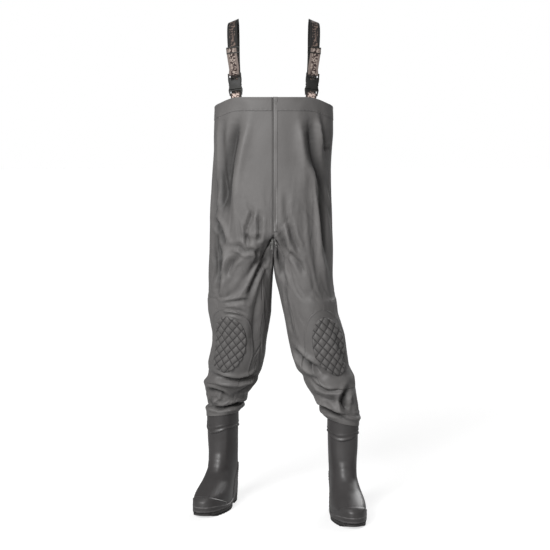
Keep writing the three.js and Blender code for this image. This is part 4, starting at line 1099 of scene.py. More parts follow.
@dataclass
class Panels:
    """The coated fabric itself, with the hem, the seam tapes and the inner pocket.

    Attributes:
        spacing: distance between neighbouring vertices, in millimetres.
        blend_start: share of the leg's height where the boot's swing begins to tell, as a height; it is not
            used.
        blend_end: height below which the fabric follows the boot; it is not used.
        band: height of the band round the hem.
        tape: width of the seam tapes.
        columns: faces round the outer side and along the seam side.
        low_share: share of the rows that the gathered foot of the leg takes.
        low_reach: height of that foot above the leg's end.
    """

    garment: Garment
    coats: Coats
    spacing: float = 4.5
    blend_start: float = 0.43
    blend_end: float = 0.3
    band: float = 39.0
    tape: float = 14.0
    columns: tuple[int, int] = (122, 50)
    low_share: float = 0.3
    low_reach: float = 125.0

    def build(self) -> None:
        """Makes every piece of the body."""
        for half in self.garment.halves.values():
            self.panel(half)
            self.hem_band(half)
        self.seam_tape("front_tape", 0.0, HEM_FRONT, "front_seam_tape")
        self.seam_tape("back_tape", 1.0, HEM_FRONT - HEM_BACK_DROP, "back_seam_tape")
        self.pocket()

    def panel(self, half: Half) -> None:
        """One half of the garment, from the hem to where it is gathered over the boot."""
        outer, inner = self.columns
        rows = int((HEM_FRONT - BOOT_TOP) / self.spacing)
        low_share, knee = self.low_share, LEG_END + self.low_reach
        split = outer / (outer + inner)

        def place(u: Array, v: Array) -> Array:
            """The folded surface over the grid."""
            turn = np.where(u <= split, u / split, 1 + (u - split) / (1 - split))
            turn = np.where(np.abs(u - split) < 1e-6, 1.0, turn)
            low = BOOT_TOP - 4 + (knee - BOOT_TOP + 4) * v / low_share
            high = knee + (HEM_FRONT - knee) * (v - low_share) / (1 - low_share)
            return self.garment.surface(half, np.where(v < low_share, low, high), turn)

        mesh = Make.grid(outer + inner, rows, place, (1.0, 0.95))
        # The fold layer keeps each point's relief, from which the cloth's material paints shade into the
        # valleys and a highlight onto the raised folds.
        layers = [mesh.verts.layers.float.new(name) for name in ("fold", "held")]
        for vertex, values in zip(mesh.verts, zip(self.garment.fold, self.held(half))):
            for layer, value in zip(layers, values):
                vertex[layer] = value
        Make.weld(mesh)
        loose = [
            face for face in mesh.faces
            if all(abs(v.co.x / MM - SEAM_SHIFT[0]) < 0.03 for v in face.verts)
        ]
        bmesh.ops.delete(mesh, geom=loose, context="FACES")
        if half.sign < 0:
            Make.flip(mesh)
        piece = Make.finish(mesh, f"{half.name}_shell", self.coats["FABRIC"])
        piece.data.materials.append(self.coats["LINING"])
        held = np.empty(len(piece.data.vertices))
        piece.data.attributes["held"].data.foreach_get("value", held)
        Settling().run(piece, held)
        piece.data.attributes.remove(piece.data.attributes["held"])
        Make.wall(piece, SHELL)
        piece.modifiers["wall"].material_offset = 1
        area = sum(polygon.area for polygon in piece.data.polygons)
        x, y = half.sign * half.stance.x * MM, half.stance.y * MM
        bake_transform(piece)
        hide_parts(f"{half.name}_panel", f"{half.name}_ankle_fabric")
        log.info("%s is a shell of %.2f square metres", piece.name, area)

    def held(self, half: Half) -> Array:
        """How firmly each point of the panel just made is held: at the hem, seams, knee and boot."""
        points, turn = self.garment.base, self.garment.turn
        x, y, z = points.T
        hem = smoothstep(z, 1090, 1150)
        boot = 1 - smoothstep(z, BOOT_TOP + 10, BOOT_TOP + 34)
        seam = 1 - smoothstep(np.minimum(np.minimum(turn, 2 - turn), np.abs(1 - turn)), 0.03, 0.07)
        fork = (1 - smoothstep(np.abs(x), 4, 18)) * smoothstep(z, 715, 735)
        bib = (1 - smoothstep(np.abs(x), 100, 128)) * smoothstep(z, 900, 980) * (y < 0)
        round_knee = 1 - smoothstep(np.abs(turn - 0.255), 0.215, 0.27)
        knee = round_knee * smoothstep(z, 350, 378) * (1 - smoothstep(z, 628, 660))
        return np.clip(np.max([hem, boot, seam, fork, bib, knee], axis=0), 0.04, 1.0)

    def hem_band(self, half: Half) -> None:
        """The folded band round the top, with its sewn lower edge and rolled top edge."""
        low = HEM_FRONT - self.band

        def place(u: Array, v: Array) -> Array:
            """Up the outside, over the top edge and a little way down the inside."""
            up = np.minimum(v / 0.8, 1.0)
            over = np.clip((v - 0.8) / 0.2, 0, 1)
            turn = 0.004 + 0.992 * u
            sewn = 0.7 * bump(v, 0.085, 0.03)
            edge = smoothstep(v, 0.0, 0.035)
            offset = 0.2 + 0.7 * edge - 0.5 * sewn + 0.5 * bump(v, 0.78, 0.07)
            offset = offset - over * (SHELL + 3.2)
            nominal = low + self.band * up - 7 * over**3 + 1.6 * np.sin(np.pi * over)
            pucker = 0.35 * np.sin(turn * 260) * bump(v, 0.05, 0.06)
            return self.garment.surface(half, nominal, turn, offset + pucker)

        mesh = Make.grid(220, 26, place, (0.5, 0.05))
        if half.sign < 0:
            Make.flip(mesh)
        piece = Make.finish(mesh, f"{half.name}_hem", self.coats["FABRIC"])
        Make.wall(piece, 0.5)
        dress(piece, "garment", "shell_fabric", f"{half.name}_hem_band")

    def seam_tape(self, name: str, turn: float, hem: float, node: str) -> None:
        """Welded tape down the centre seam, a little to one side of the seam's groove."""
        bottom = 850.0 if turn < 0.5 else 834.0
        half = self.garment.halves["left"]

        def place(u: Array, v: Array) -> Array:
            """A strip over the seam, thinnest at its edges."""
            across = (u - 0.5) * self.tape + 4.5
            nominal = bottom + (HEM_FRONT + 1.5 - bottom) * v
            inside = np.abs(across)
            side = inside / (half.half_width * 0.9)
            place_turn = (side ** (half.squareness / 2)) / np.pi
            turns = np.where(turn < 0.5, place_turn, 1 - place_turn)
            left = self.garment.surface(self.garment.halves["left"], nominal, turns)
            right = self.garment.surface(self.garment.halves["right"], nominal, turns)
            points = np.where((across >= 0)[:, None], left, right)
            crown = 0.4 + 0.5 * smoothstep(np.abs(u - 0.5), 0.5, 0.38)
            groove = 2.6 * bump(across, -1.4, 1.5)
            points[:, 0] = across
            points[:, 1] += (crown - groove + 0.9 * smoothstep(v, 0.955, 0.965)) * (-1 if turn < 0.5 else 1)
            return points

        mesh = Make.grid(20, 120, place, (0.02, 0.45))
        if turn > 0.5:
            Make.flip(mesh)
        piece = Make.finish(mesh, name, self.coats["TAPE"])
        Make.wall(piece, 0.5)
        dress(piece, "garment", "seam_tape", node)

    def pocket(self) -> None:
        """The pocket sewn inside the bib."""
        half = self.garment.halves["left"]
        top, tall = HEM_FRONT - 62.0, 104.0
        start, end = half.turn_at(12, top), half.turn_at(104, top)

        def place(u: Array, v: Array) -> Array:
            """A bag that bulges a little away from the lining."""
            crown = 2.2 * (1 - np.abs(2 * u - 1) ** 4) * (1 - np.abs(2 * v - 1) ** 4)
            turn = start + (end - start) * u
            return self.garment.surface(half, top - tall + tall * v, turn, -SHELL - 2.4 - crown)

        mesh = Make.grid(30, 32, place, (0.09, 0.1))
        piece = Make.finish(mesh, "inner_pocket", self.coats["LINING"])
        Make.wall(piece, 1.0)
        dress(piece, "garment", "patch_fabric", "chest_pocket")


@dataclass
class Knee:
    """A welded patch with a quilted pad on it.

    Attributes:
        centre: turn of its middle line.
        diamond: width and height of a quilted diamond, in millimetres.
        patch_turn: length of a whole turn under the patch, in millimetres.
        pad_turn: length of a whole turn under the pad.
    """

    garment: Garment
    half: Half
    coats: Coats
    centre: float
    patch_bottom: float = 383.5
    patch_height: float = 238.0
    patch_span: float = 0.2
    pad_bottom: float = 424.0
    pad_height: float = 176.0
    pad_span: float = 0.135
    diamond: Pair = (27.0, 30.0)
    patch_turn: float = 420.0
    pad_turn: float = 430.0

    def build(self) -> None:
        """Makes the patch and the pad."""
        self.patch()
        self.pad()

    def patch(self) -> None:
        """An arch with straight sides and a round top, thicker along its welded rim."""

        def place(u: Array, v: Array) -> Array:
            """The arch over the grid; rows shrink towards the crown."""
            rise = 1 - (1 - v) ** 1.35
            arch = np.sqrt(np.maximum(1 - (np.maximum(rise - 0.5, 0) / 0.5) ** 2.2, 0))
            foot = 1 - 0.25 * (1 - smoothstep(rise, 0.0, 0.16)) ** 2
            turn = self.centre + self.patch_span * (2 * u - 1) * arch * foot
            from_side = (1 - np.abs(2 * u - 1)) * arch * self.patch_span * self.patch_turn
            inset = np.minimum(from_side, rise * self.patch_height)
            rim = 1.0 + 1.3 * bump(inset, 3.6, 2.2) - 0.7 * bump(inset, 0, 1.2)
            height = self.patch_bottom + self.patch_height * rise
            return self.garment.surface(self.half, height, turn % 2, rim)

        mesh = Make.grid(70, 90, place, (0.17, 0.24))
        Make.weld(mesh)
        if self.half.sign < 0:
            Make.flip(mesh)
        piece = Make.finish(mesh, f"{self.half.name}_knee_cover", self.coats["PATCH"])
        Make.wall(piece, 1.2)
        dress(piece, "garment", "patch_fabric", f"{self.half.name}_knee_patch")

    def pad(self) -> None:
        """An oval pad quilted in diamonds."""
        wide = self.pad_span * self.pad_turn

        def place(u: Array, v: Array) -> Array:
            """Puffed diamonds between sewn channels, falling to a sewn edge."""
            a, b = 2 * u - 1, 2 * v - 1
            x = a * np.sqrt(1 - 0.5 * b**2)
            z = b * np.sqrt(1 - 0.5 * a**2)
            turn = self.centre + self.pad_span * x
            height = self.pad_bottom + self.pad_height * (z + 1) / 2
            across, up = x * wide, z * self.pad_height / 2
            p = across / self.diamond[0] + up / self.diamond[1]
            q = across / self.diamond[0] - up / self.diamond[1]
            puff = (np.abs(np.sin(np.pi * p)) * np.abs(np.sin(np.pi * q))) ** 0.6
            edge = smoothstep(1 - np.maximum(np.abs(a), np.abs(b)), 0.0, 0.07)
            lift = 1.6 + edge * (1.8 + 4.0 * puff)
            uneven = 0.5 * np.sin(across / 9 + up / 31) * edge
            return self.garment.surface(self.half, height, turn % 2, lift + uneven)

        mesh = Make.grid(104, 130, place)
        layer = mesh.loops.layers.uv["UVMap"]
        for face in mesh.faces:
            for loop in face.loops:
                a, b = (2 * value - 1 for value in loop[layer].uv)
                across = a * math.sqrt(1 - 0.5 * b * b) * wide
                up = b * math.sqrt(1 - 0.5 * a * a) * self.pad_height / 2
                loop[layer].uv = (across / self.diamond[0], up / self.diamond[1])
        if self.half.sign < 0:
            Make.flip(mesh)
        piece = Make.finish(mesh, f"{self.half.name}_knee_quilt", self.coats["PAD"])
        Make.wall(piece, 0.8)
        dress(piece, "garment", "pad_fabric", f"{self.half.name}_knee_pad")


# ---------------------------------------------------------------- boots


@dataclass
class Boot:
    """A moulded boot: upper, cuff, toe cap, heel counter, rand, sole and insole.

    Attributes:
        heel_reach: from the shaft's middle back to the heel.
        length: of the sole.
        sole: its thickness under the foot.
        heel_lift: how much higher the heel sits than the toes.
        heel_block: length of the heel block.
        waist: length of the plain stretch before it.
    """

    half: Half
    coats: Coats
    heel_reach: float = 94.0
    length: float = 300.0
    sole: float = 14.0
    heel_lift: float = 15.0
    heel_block: float = 82.0
    waist: float = 42.0

    def __post_init__(self) -> None:
        """Makes the side view's smoothed tables."""
        toe, heel, shaft = self.length - self.heel_reach, self.heel_reach, 57.0
        rows = (
            (0, toe - 4, heel - 4), (16, toe - 2, heel - 1), (34, toe - 4, heel), (46, toe - 18, heel - 1),
            (57, toe - 45, heel - 3), (74, toe - 85, heel - 6), (98, shaft + 26, heel - 13),
            (124, shaft + 9, heel - 22), (152, shaft, heel - 28), (190, shaft - 1, shaft + 4),
            (271, shaft, shaft),
        )
        self.front = Profile(tuple((r[0], r[1]) for r in rows), 4.0)
        self.back = Profile(tuple((r[0], r[2]) for r in rows), 5.0)
        self.toe = toe

    def half_width(self, height: Array, y: Array) -> Array:
        """Half the boot's width at a height and a place along it."""
        forward = smoothstep(-y, -30, 100)
        foot = 38 + 14 * forward
        shaft = 39 + 5 * smoothstep(height, 90, 220)
        return foot + (shaft - foot) * smoothstep(height, 30, 110)

    def lift(self, y: Array, height: Array | float) -> Array:
        """How much the heel raises the upper."""
        low = 1 - smoothstep(np.asarray(height, float), 40, 150)
        return self.heel_lift * smoothstep(y, -95, 10) * low

    def point(self, height: Array, angle: Array, offset: Array | float = 0.0) -> Array:
        """Points of the upper in the boot's own frame; angle 0 is the toe."""
        front, back = self.front.at(height), self.back.at(height)
        length = (front + back) / 2
        y = -length * power(np.cos(angle), 2 / 2.15) + (back - front) / 2
        x = self.half_width(height, y) * power(np.sin(angle), 2 / 2.3)
        rise = self.sole + height + self.lift(y, height)
        return stack(x + np.sin(angle) * offset, y - np.cos(angle) * offset, rise)

    def stand(self, points: Array) -> Array:
        """Turns the boot to its stance and puts it in place."""
        stance = self.half.stance
        turn = math.radians(stance.sign * stance.toe_out)
        x, y, z = points.T
        return stack(
            x * math.cos(turn) - y * math.sin(turn) + stance.sign * stance.x,
            x * math.sin(turn) + y * math.cos(turn) + stance.y,
            z,
        )

    def skin(self, name: str, coat: str, columns: int, rows: int, place: Place, wall: float, node: str,
             closed: bool = False, size: Pair = (0.3, 0.3)) -> Piece:
        """A layer of the boot that follows the upper.

        Args:
            name: the piece's name after the side.
            coat: its finish.
            columns: faces round it.
            rows: faces up it.
            place: gives height, angle and offset, stacked, for u and v.
            wall: its thickness.
            node: the CAD node that it stands for.
            closed: whether it goes all the way round.
            size: what the UV map spans.

        Returns:
            The piece.
        """

        def spot(u: Array, v: Array) -> Array:
            """Height, angle and offset made a point."""
            height, angle, offset = place(u, v).T
            return self.stand(self.point(height, angle, offset))

        mesh = Make.grid(columns, rows, spot, size)
        if closed:
            Make.weld(mesh)
        piece = Make.finish(mesh, f"{self.half.name}_{name}", self.coats[coat])
        Make.wall(piece, wall)
        return dress(piece, f"{self.half.name}_boot", "boot_pvc", f"{self.half.name}_{node}")

    def build(self) -> None:
        """Makes the boot."""
        self.upper()
        self.cuff()
        self.toe_cap()
        self.counter()
        self.rand()
        self.outsole()
        self.insole()

    def upper(self) -> None:
        """The foot and shaft in one moulding, with a soft shin ridge and flex creases."""

        def place(u: Array, v: Array) -> Array:
            """All round, from the sole line to the top."""
            height, angle = 271 * v, math.tau * u
            toe, side = np.cos(angle), np.abs(np.sin(angle))
            instep = smoothstep(toe, 0.2, 0.9)
            flex = 0.9 * bump(height, 112 - 14 * side, 6) + 0.6 * bump(height, 132 - 10 * side, 5)
            offset = -flex * instep
            offset = offset + 0.5 * bump(height, 122, 8) * instep
            offset = offset + 1.3 * bump(side, 0.55, 0.12) * smoothstep(height, 120, 170) * (toe > 0)
            offset = offset + 0.5 * np.sin(angle * 3 + height / 40) * smoothstep(height, 140, 200)
            return stack(height, angle, offset)

        self.skin("boot_shell", "BOOT", 112, 110, place, 3.0, "boot_upper", True)

    def cuff(self) -> None:
        """The welded band at the shaft's top, with its wavy raised lower edge."""

        def place(u: Array, v: Array) -> Array:
            """A band with a rolled lower edge and a second, softer roll above it."""
            angle = math.tau * u
            wave = -8 * np.cos(2 * angle + 0.3) + 3 * np.sin(3 * angle)
            low = 222 + wave
            height = low + (274 - low) * v
            roll = 1.7 * bump(v, 0.07, 0.06) + 0.9 * bump(v, 0.3, 0.05) - 0.7 * bump(v, 0.18, 0.06)
            return stack(height, angle, 0.7 + 1.1 * smoothstep(v, 0.0, 0.04) + roll)

        self.skin("boot_collar", "BOOT", 120, 34, place, 1.6, "boot_cuff", True)

    def toe_cap(self) -> None:
        """The reinforced toe, which ends in a ledge across the forefoot."""

        def place(u: Array, v: Array) -> Array:
            """From the rand up over the toe."""
            angle = (2 * u - 1) * 1.22
            height = 3 + (44 - 30 * np.abs(2 * u - 1) ** 2.2) * v
            ledge = smoothstep(1 - v, 0.0, 0.06) * smoothstep(1 - np.abs(2 * u - 1), 0.0, 0.06)
            return stack(height, angle, 0.2 + (1.8 + 0.8 * bump(v, 0.9, 0.07)) * ledge)

        self.skin("toe_guard", "BOOT", 90, 44, place, 1.2, "toe_cap")

    def counter(self) -> None:
        """The heel counter, covered in overlapping moulded scales."""

        def place(u: Array, v: Array) -> Array:
            """Scales stand out in rows, each row half a scale along from the next."""
            height = 4 + 96 * v
            half = 1.6 - 0.55 * v
            angle = math.pi + (2 * u - 1) * half
            row = height / 8.5
            shift = 0.5 * (np.floor(row) % 2)
            column = angle * 62 / 9.0 + shift
            down = 1 - (row % 1)
            scale = np.clip(1.15 * down - 0.6 * (2 * (column % 1) - 1) ** 2, 0, 1)
            edge = smoothstep(1 - np.abs(2 * u - 1), 0.0, 0.05) * smoothstep(1 - v, 0.0, 0.05)
            return stack(height, angle, 0.3 + edge * (1.2 + 1.5 * scale))

        self.skin("heel_guard", "BOOT_GRAIN", 190, 100, place, 1.2, "heel_counter")

    def rand(self) -> None:
        """The rubber strip where the upper meets the sole."""

        def place(u: Array, v: Array) -> Array:
            """A strip with two beads."""
            angle = math.tau * u
            toe = smoothstep(np.cos(angle), 0.2, 0.9)
            height = 1 + (9 + 9 * toe) * v
            beads = 1.0 * bump(v, 0.85, 0.1) + 0.8 * bump(v, 0.2, 0.12)
            return stack(height, angle, 1.6 + beads - 1.4 * smoothstep(v, 0.93, 1.0))

        mesh_name = f"{self.half.name}_rand"

        def spot(u: Array, v: Array) -> Array:
            """Height, angle and offset made a point."""
            height, angle, offset = place(u, v).T
            return self.stand(self.point(height, angle, offset))

        mesh = Make.grid(140, 16, spot, (0.8, 0.02))
        Make.weld(mesh)
        piece = Make.finish(mesh, mesh_name, self.coats["RAND"])
        Make.wall(piece, 1.4)
        dress(piece, f"{self.half.name}_boot", "boot_pvc")

    def sole_half_width(self, y: Array) -> Array:
        """Half the sole's width along the boot."""
        middle = (self.heel_reach - self.toe) / 2
        share = np.minimum(np.abs((y - middle) / (self.length / 2 - 1.5)), 1)
        forward = smoothstep(-y, -30, 100)
        return (38 + 14 * forward - 3 * bump(y, -15, 38)) * (1 - share**2.15) ** 0.435 + 1.6

    def outsole(self) -> None:
        """The sole: a slab under the foot and a heel block, both cut into cleats."""
        breast = self.heel_reach - self.heel_block
        toe_spring = 6.0
        cleat, groove, depth = 11.0, 6.5, 5.0
        narrow, shorter, middle = 0.95, 0.985, -60
        rows: list[tuple[float, bool]] = []
        waist_start = breast - self.waist
        spans = (-self.toe + 1.0, waist_start), (waist_start, breast), (breast, self.heel_reach - 1.0)
        for start, end in spans:
            waist = start == waist_start
            count = max(int(round((end - start + groove) / (cleat + groove))), 1)
            step = (end - start + groove) / count
            for index in range(count):
                base = start + index * step
                rows.append((base, not waist))
                rows.append((base + step - groove, False))
        starts = np.array([place for place, _ in rows] + [self.heel_reach - 0.5])
        halfway = (starts[1:] + starts[:-1]) / 2
        near_toe = [-self.toe + step for step in (2.0, 4.5, 8.0)]
        near_heel = [self.heel_reach - step for step in (1.5, 4.0, 8.0)]
        ys = np.unique(np.concatenate([starts, halfway, near_toe, near_heel]))
        mesh = bmesh.new()
        bmesh.ops.create_grid(mesh, x_segments=12, y_segments=len(ys) - 1, size=0.5)
        count = len(ys) - 1
        for face in mesh.faces:
            index = int((face.calc_center_median().y + 0.5) * count)
            owner = int(np.searchsorted(starts, (ys[index] + ys[index + 1]) / 2)) - 1
            face.tag = rows[owner][1]
        for vertex in mesh.verts:
            place = float(ys[int(round((vertex.co.y + 0.5) * count))])
            across = 2 * vertex.co.x
            vertex.co = (self.sole_half_width(np.array([place]))[0] * across, place, 0.0)
        cleats = [face for face in mesh.faces if face.tag]
        under = bmesh.ops.extrude_face_region(mesh, geom=cleats)
        for item in under["geom"]:
            if isinstance(item, bmesh.types.BMVert):
                item.co.z = -depth
        slab = [face for face in mesh.faces if all(abs(v.co.z) < 1e-6 for v in face.verts)]
        top = bmesh.ops.extrude_face_region(mesh, geom=slab)
        raised = {v for v in top["geom"] if isinstance(v, bmesh.types.BMVert)}
        bmesh.ops.delete(mesh, geom=cleats, context="FACES_ONLY")
        for vertex in mesh.verts:
            y_here = vertex.co.y
            spring = toe_spring * float(smoothstep(np.array(-y_here), self.toe - 45, self.toe))
            lift = float(self.lift(np.array(y_here), 0.0))
            if vertex not in raised:
                vertex.co.x *= narrow
                vertex.co.y = middle + (y_here - middle) * shorter
            if vertex in raised:
                vertex.co.z = self.sole + lift - 0.3
            elif breast - self.waist + 2 < y_here < breast - 1:
                vertex.co.z = self.sole * 0.55
            else:
                vertex.co.z = vertex.co.z + depth + spring
        points = self.stand(np.array([vertex.co for vertex in mesh.verts]))
        for vertex, point in zip(mesh.verts, to_row(points)):
            vertex.co = point
        bmesh.ops.recalc_face_normals(mesh, faces=mesh.faces[:])
        piece = Make.finish(mesh, f"{self.half.name}_tread", self.coats["SOLE"], False)
        Make.round_edges(piece, 1.1)
        dress(piece, f"{self.half.name}_boot", "outsole_rubber", f"{self.half.name}_outsole")

    def insole(self) -> None:
        """The felt insole."""
        inset = -4.2

        def place(u: Array, v: Array) -> Array:
            """Rings that close in towards the middle, dished at the heel."""
            angle = math.tau * u
            rim = self.point(np.full_like(u, 2.0), angle, inset)
            middle = stack(0 * u, -30 + 0 * u, rim[:, 2])
            share = np.sqrt(np.clip(v, 0.0, 1.0))[:, None]
            points = middle + (rim - middle) * share
            points[:, 2] += 5.5 + 1.6 * share[:, 0] ** 4
            return self.stand(points)

        mesh = Make.grid(72, 14, place, (0.3, 0.1))
        Make.weld(mesh)
        bmesh.ops.recalc_face_normals(mesh, faces=mesh.faces[:])
        piece = Make.finish(mesh, f"{self.half.name}_footbed", self.coats["INSOLE"])
        Make.wall(piece, 3.5)
        dress(piece, f"{self.half.name}_boot", "insole_felt", f"{self.half.name}_insole")


# ---------------------------------------------------------------- suspenders


@dataclass
class Suspender:
    """One strap with its buckle and slider.

    Its own frame has z up the strap from the hem, x across the webbing and -y out of its face.

    Attributes:
        width: of the webbing.
        thick: of the webbing.
        ply: from the strap's middle plane out to the webbing that passes a bar.
        run: where the straight part ends.
        socket_start: the socket's mouth.
        socket_end: its bar end.
        slider_place: the slider's middle.
    """

    half: Half
    garment: Garment
    coats: Coats
    width: float = 30.0
    thick: float = 1.6
    ply: float = 4.07
    run: float = 172.5
    socket_start: float = 38.5
    socket_end: float = 86.0
    slider_place: float = 154.0

    def __post_init__(self) -> None:
        """Works out the strap's own frame."""
        sign = self.half.sign
        self.up = Vector((sign * 13.0, 37.0, 168.0)).normalized()
        turned = math.radians(sign * 14.0)
        level = Vector((math.cos(turned), math.sin(turned), 0.0))
        self.back = self.up.cross(level).normalized()
        self.across = self.back.cross(self.up)
        foot = {1: (106.565, -93.298, 1220.701), -1: (-106.565, -93.298, 1220.701)}[sign]
        self.foot = Vector(foot)

    def lay(self, points: Array) -> Array:
        """Points of the strap's frame as points about the seam."""
        basis = np.array([self.across, self.back, self.up])
        return points @ basis + np.array(self.foot)

    def ribbon(
        self, name: str, coat: str, spine: Array, wide: Array, face: Array, rows: int
    ) -> Piece:
        """Webbing along a line.

        Args:
            name: the piece's name after the side.
            coat: its finish.
            spine: points of its middle line about the seam.
            wide: directions across it at those points.
            face: directions out of its face.
            rows: faces along it.

        Returns:
            The piece.
        """
        steps = np.concatenate([[0], np.cumsum(np.linalg.norm(np.diff(spine, axis=0), axis=1))])
        total = steps[-1]

        def along(values: Array, v: Array) -> Array:
            """Values of the line at a share of its length, smoothed."""
            reach = np.minimum(total * 0.012, np.minimum(v, 1 - v) * total)
            taps = [-1.0, -0.5, 0.0, 0.5, 1.0]
            spot = [np.clip(v * total + tap * reach, 0, total) for tap in taps]
            found = (stack(*(np.interp(s, steps, values[:, i]) for i in range(3))) for s in spot)
            return sum(found) / len(taps)

        def place(u: Array, v: Array) -> Array:
            """A flat section with rounded selvedges."""
            angle = math.tau * u
            x = self.width / 2 * power(np.cos(angle), 0.18)
            selvedge = 1 + 0.25 * bump(np.abs(x), self.width / 2 - 1.6, 1.2)
            y = self.thick / 2 * power(np.sin(angle), 0.6) * selvedge
            return along(spine, v) + unit(along(wide, v)) * x[:, None] + unit(along(face, v)) * y[:, None]

        mesh = Make.grid(36, rows, place, (1.0, total * MM))
        layer = mesh.loops.layers.uv["UVMap"]
        for vert_face in mesh.faces:
            for loop in vert_face.loops:
                u, v = loop[layer].uv
                across = float(power(np.cos(np.array(math.tau * u)), 0.18))
                loop[layer].uv = (WEBBING_WIDTH / 2 + WEBBING_WIDTH / 2 * across, v)
        Make.weld(mesh)
        Make.cap(mesh)
        return Make.finish(mesh, f"{self.half.name}_{name}", self.coats[coat])

    def strip(
        self, line: Sequence[Pair], shift: Sequence[float] | None = None
    ) -> Lines:
        """A line in the plane across the webbing as its middle line, width and face directions."""
        points = np.array([(0.0, y, z) for y, z in line])
        if shift is not None:
            points[:, 0] = shift
        tangent = unit(np.gradient(points[:, 1:], axis=0))
        face = np.column_stack([np.zeros(len(points)), tangent[:, 1] * -1, tangent[:, 0]])
        basis = np.array([self.across, self.back, self.up])
        wide = np.tile(np.array(self.across), (len(points), 1))
        return self.lay(points), wide, -face @ basis

    def build(self) -> None:
        """Makes the strap."""
        self.tab()
        self.loop()
        self.shoulder()
        self.anchors()
        Buckle(self).build()

    def tab(self) -> None:
        """The short webbing that holds the buckle's insert, sewn inside the hem."""
        bar, out = 23.0, self.ply
        line = [(6.2, -38.0), (2.4, -14.0), (-0.4, 4.0), (-out + 0.4, bar - 6)]
        line += [(-out * math.cos(a), bar + out * math.sin(a)) for a in np.linspace(0, math.pi, 11)]
        line += [(out - 0.4, bar - 6), (2.2, 6.0), (4.2, -8.0)]
        piece = self.ribbon("hem_tab", "TAB", *self.strip(line), 60)
        dress(piece, "garment", "webbing", f"{self.half.name}_front_tab")

    def loop(self) -> None:
        """Webbing round the socket's bar, whose tail doubles back up through the slider."""
        bar, out, sign = self.socket_end - 2, self.ply, self.half.sign
        front, tail_end = out - self.thick - 0.3, 162.0
        line = [(out, self.socket_end + 2)]
        line += [(out * math.cos(a), bar - out * math.sin(a)) for a in np.linspace(0, math.pi, 11)]
        line += [(-out, bar + 4)]
        line += [
            (front - 1.2 * math.sin(math.pi * s) * 1.4, bar + 14 + (tail_end - bar - 14) * s)
            for s in np.linspace(0, 1, 14)
        ]
        shift = [
            sign * 4.0 * float(smoothstep(np.array(z), bar + 4, tail_end)) if i > 10 else 0.0
            for i, (_, z) in enumerate(line)
        ]
        piece = self.ribbon("tail", "REVERSE", *self.strip(line, shift), 90)
        dress(piece, f"{self.half.name}_socket", "webbing", f"{self.half.name}_strap_loop")

    def shoulder_lines(self) -> Lines:
        """The run from the buckle over the shoulder to inside the back hem."""
        sign = self.half.sign
        basis = np.array([self.across, self.back, self.up])
        straight = self.lay(np.array([(0.0, self.ply, z) for z in np.linspace(88.3, self.run, 10)]))
        bend = straight[-1]
        top = np.array([bend[0] - sign * 3, 0.0, HEM_FRONT + 222])
        hold = bend + np.array(self.up) * (top[2] - bend[2]) * 0.75
        shares = np.linspace(0, 1, 14)[1:, None]
        knee = np.array([hold[0], hold[1], top[2]])
        over = bend * (1 - shares) ** 2 + knee * 2 * shares * (1 - shares) + top * shares**2
        turn = np.array([self.back_turn(top[0])])
        hem = self.garment.surface(self.half, np.array([HEM_FRONT - 3.0]), turn, -7.0)[0]
        low = self.garment.surface(self.half, np.array([HEM_FRONT - 45.0]), turn, -7.0)[0]
        blade = np.array((top[0], 84, top[2] - 110))
        marks = np.array([top, (top[0], 34, top[2] - 9), (top[0], 66, top[2] - 48), blade,
                          hem * 0.55 + blade * 0.45, hem, low])
        run = np.linspace(0, len(marks) - 1, 46)[1:]
        rear = stack(*(Profile(tuple(enumerate(marks[:, i])), 0.22).at(run) for i in range(3)))
        spine = np.vstack([straight, over, rear])
        tangent = unit(np.gradient(spine, axis=0))
        canted = np.array([math.cos(math.radians(24)), 0, -sign * math.sin(math.radians(24))])
        near_top = np.concatenate([np.zeros(10), shares[:, 0], np.ones(45)])[:, None]
        level = np.concatenate([np.zeros(23), smoothstep(np.linspace(0, 1, 45), 0.0, 0.5)])[:, None]
        wide = basis[0] * (1 - near_top) + canted * near_top
        wide = wide * (1 - level) + np.array([1.0, 0, 0]) * level
        wide = unit(wide - tangent * np.sum(wide * tangent, axis=1, keepdims=True))
        return spine, wide, np.cross(tangent, wide)

    def back_turn(self, x: float) -> float:
        """Turn at the back hem behind the shoulder."""
        return self.half.turn_at(0.97 * x, HEM_FRONT - HEM_BACK_DROP, True)

    def shoulder(self) -> None:
        """The strap, in two pieces that meet on top of the shoulder."""
        spine, wide, face = self.shoulder_lines()
        crest = 23
        front = self.ribbon("front_webbing", "WEBBING", spine[:crest], wide[:crest], face[:crest], 70)
        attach(front, "garment")
        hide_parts(f"{self.half.name}_front_strap")
        anchor = to_row(spine[crest - 1])
        tuple(self.up)
        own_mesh(front)
        behind = (values[crest - 1:] for values in (spine, wide, face))
        rear = self.ribbon("back_webbing", "WEBBING", *behind, 110)
        dress(rear, "garment", "webbing", f"{self.half.name}_back_strap")

    def anchors(self) -> None:
        """The patches inside the hem that the strap ends are sewn to."""
        turn = self.half.turn_at(self.half.sign * 111.0, HEM_FRONT)
        for name, middle in (("front", turn), ("back", 1 - turn)):

            def place(u: Array, v: Array, middle: float = middle) -> Array:
                """A patch that is thinner along its stitched edge."""
                rim = 1 - np.maximum(np.abs(2 * u - 1), np.abs(2 * v - 1))
                stitch = 0.4 * bump(rim, 0.12, 0.05)
                where = middle + 0.042 * (2 * u - 1)
                height = HEM_FRONT - 48 + 40 * v
                return self.garment.surface(self.half, height, where, -SHELL - 1.6 + stitch)

            mesh = Make.grid(24, 22, place, (0.04, 0.04))
            if self.half.sign < 0:
                Make.flip(mesh)
            piece = Make.finish(mesh, f"{self.half.name}_{name}_patch", self.coats["PATCH"])
            Make.wall(piece, 0.8)
            dress(piece, "garment", "patch_fabric", f"{self.half.name}_{name}_anchor")


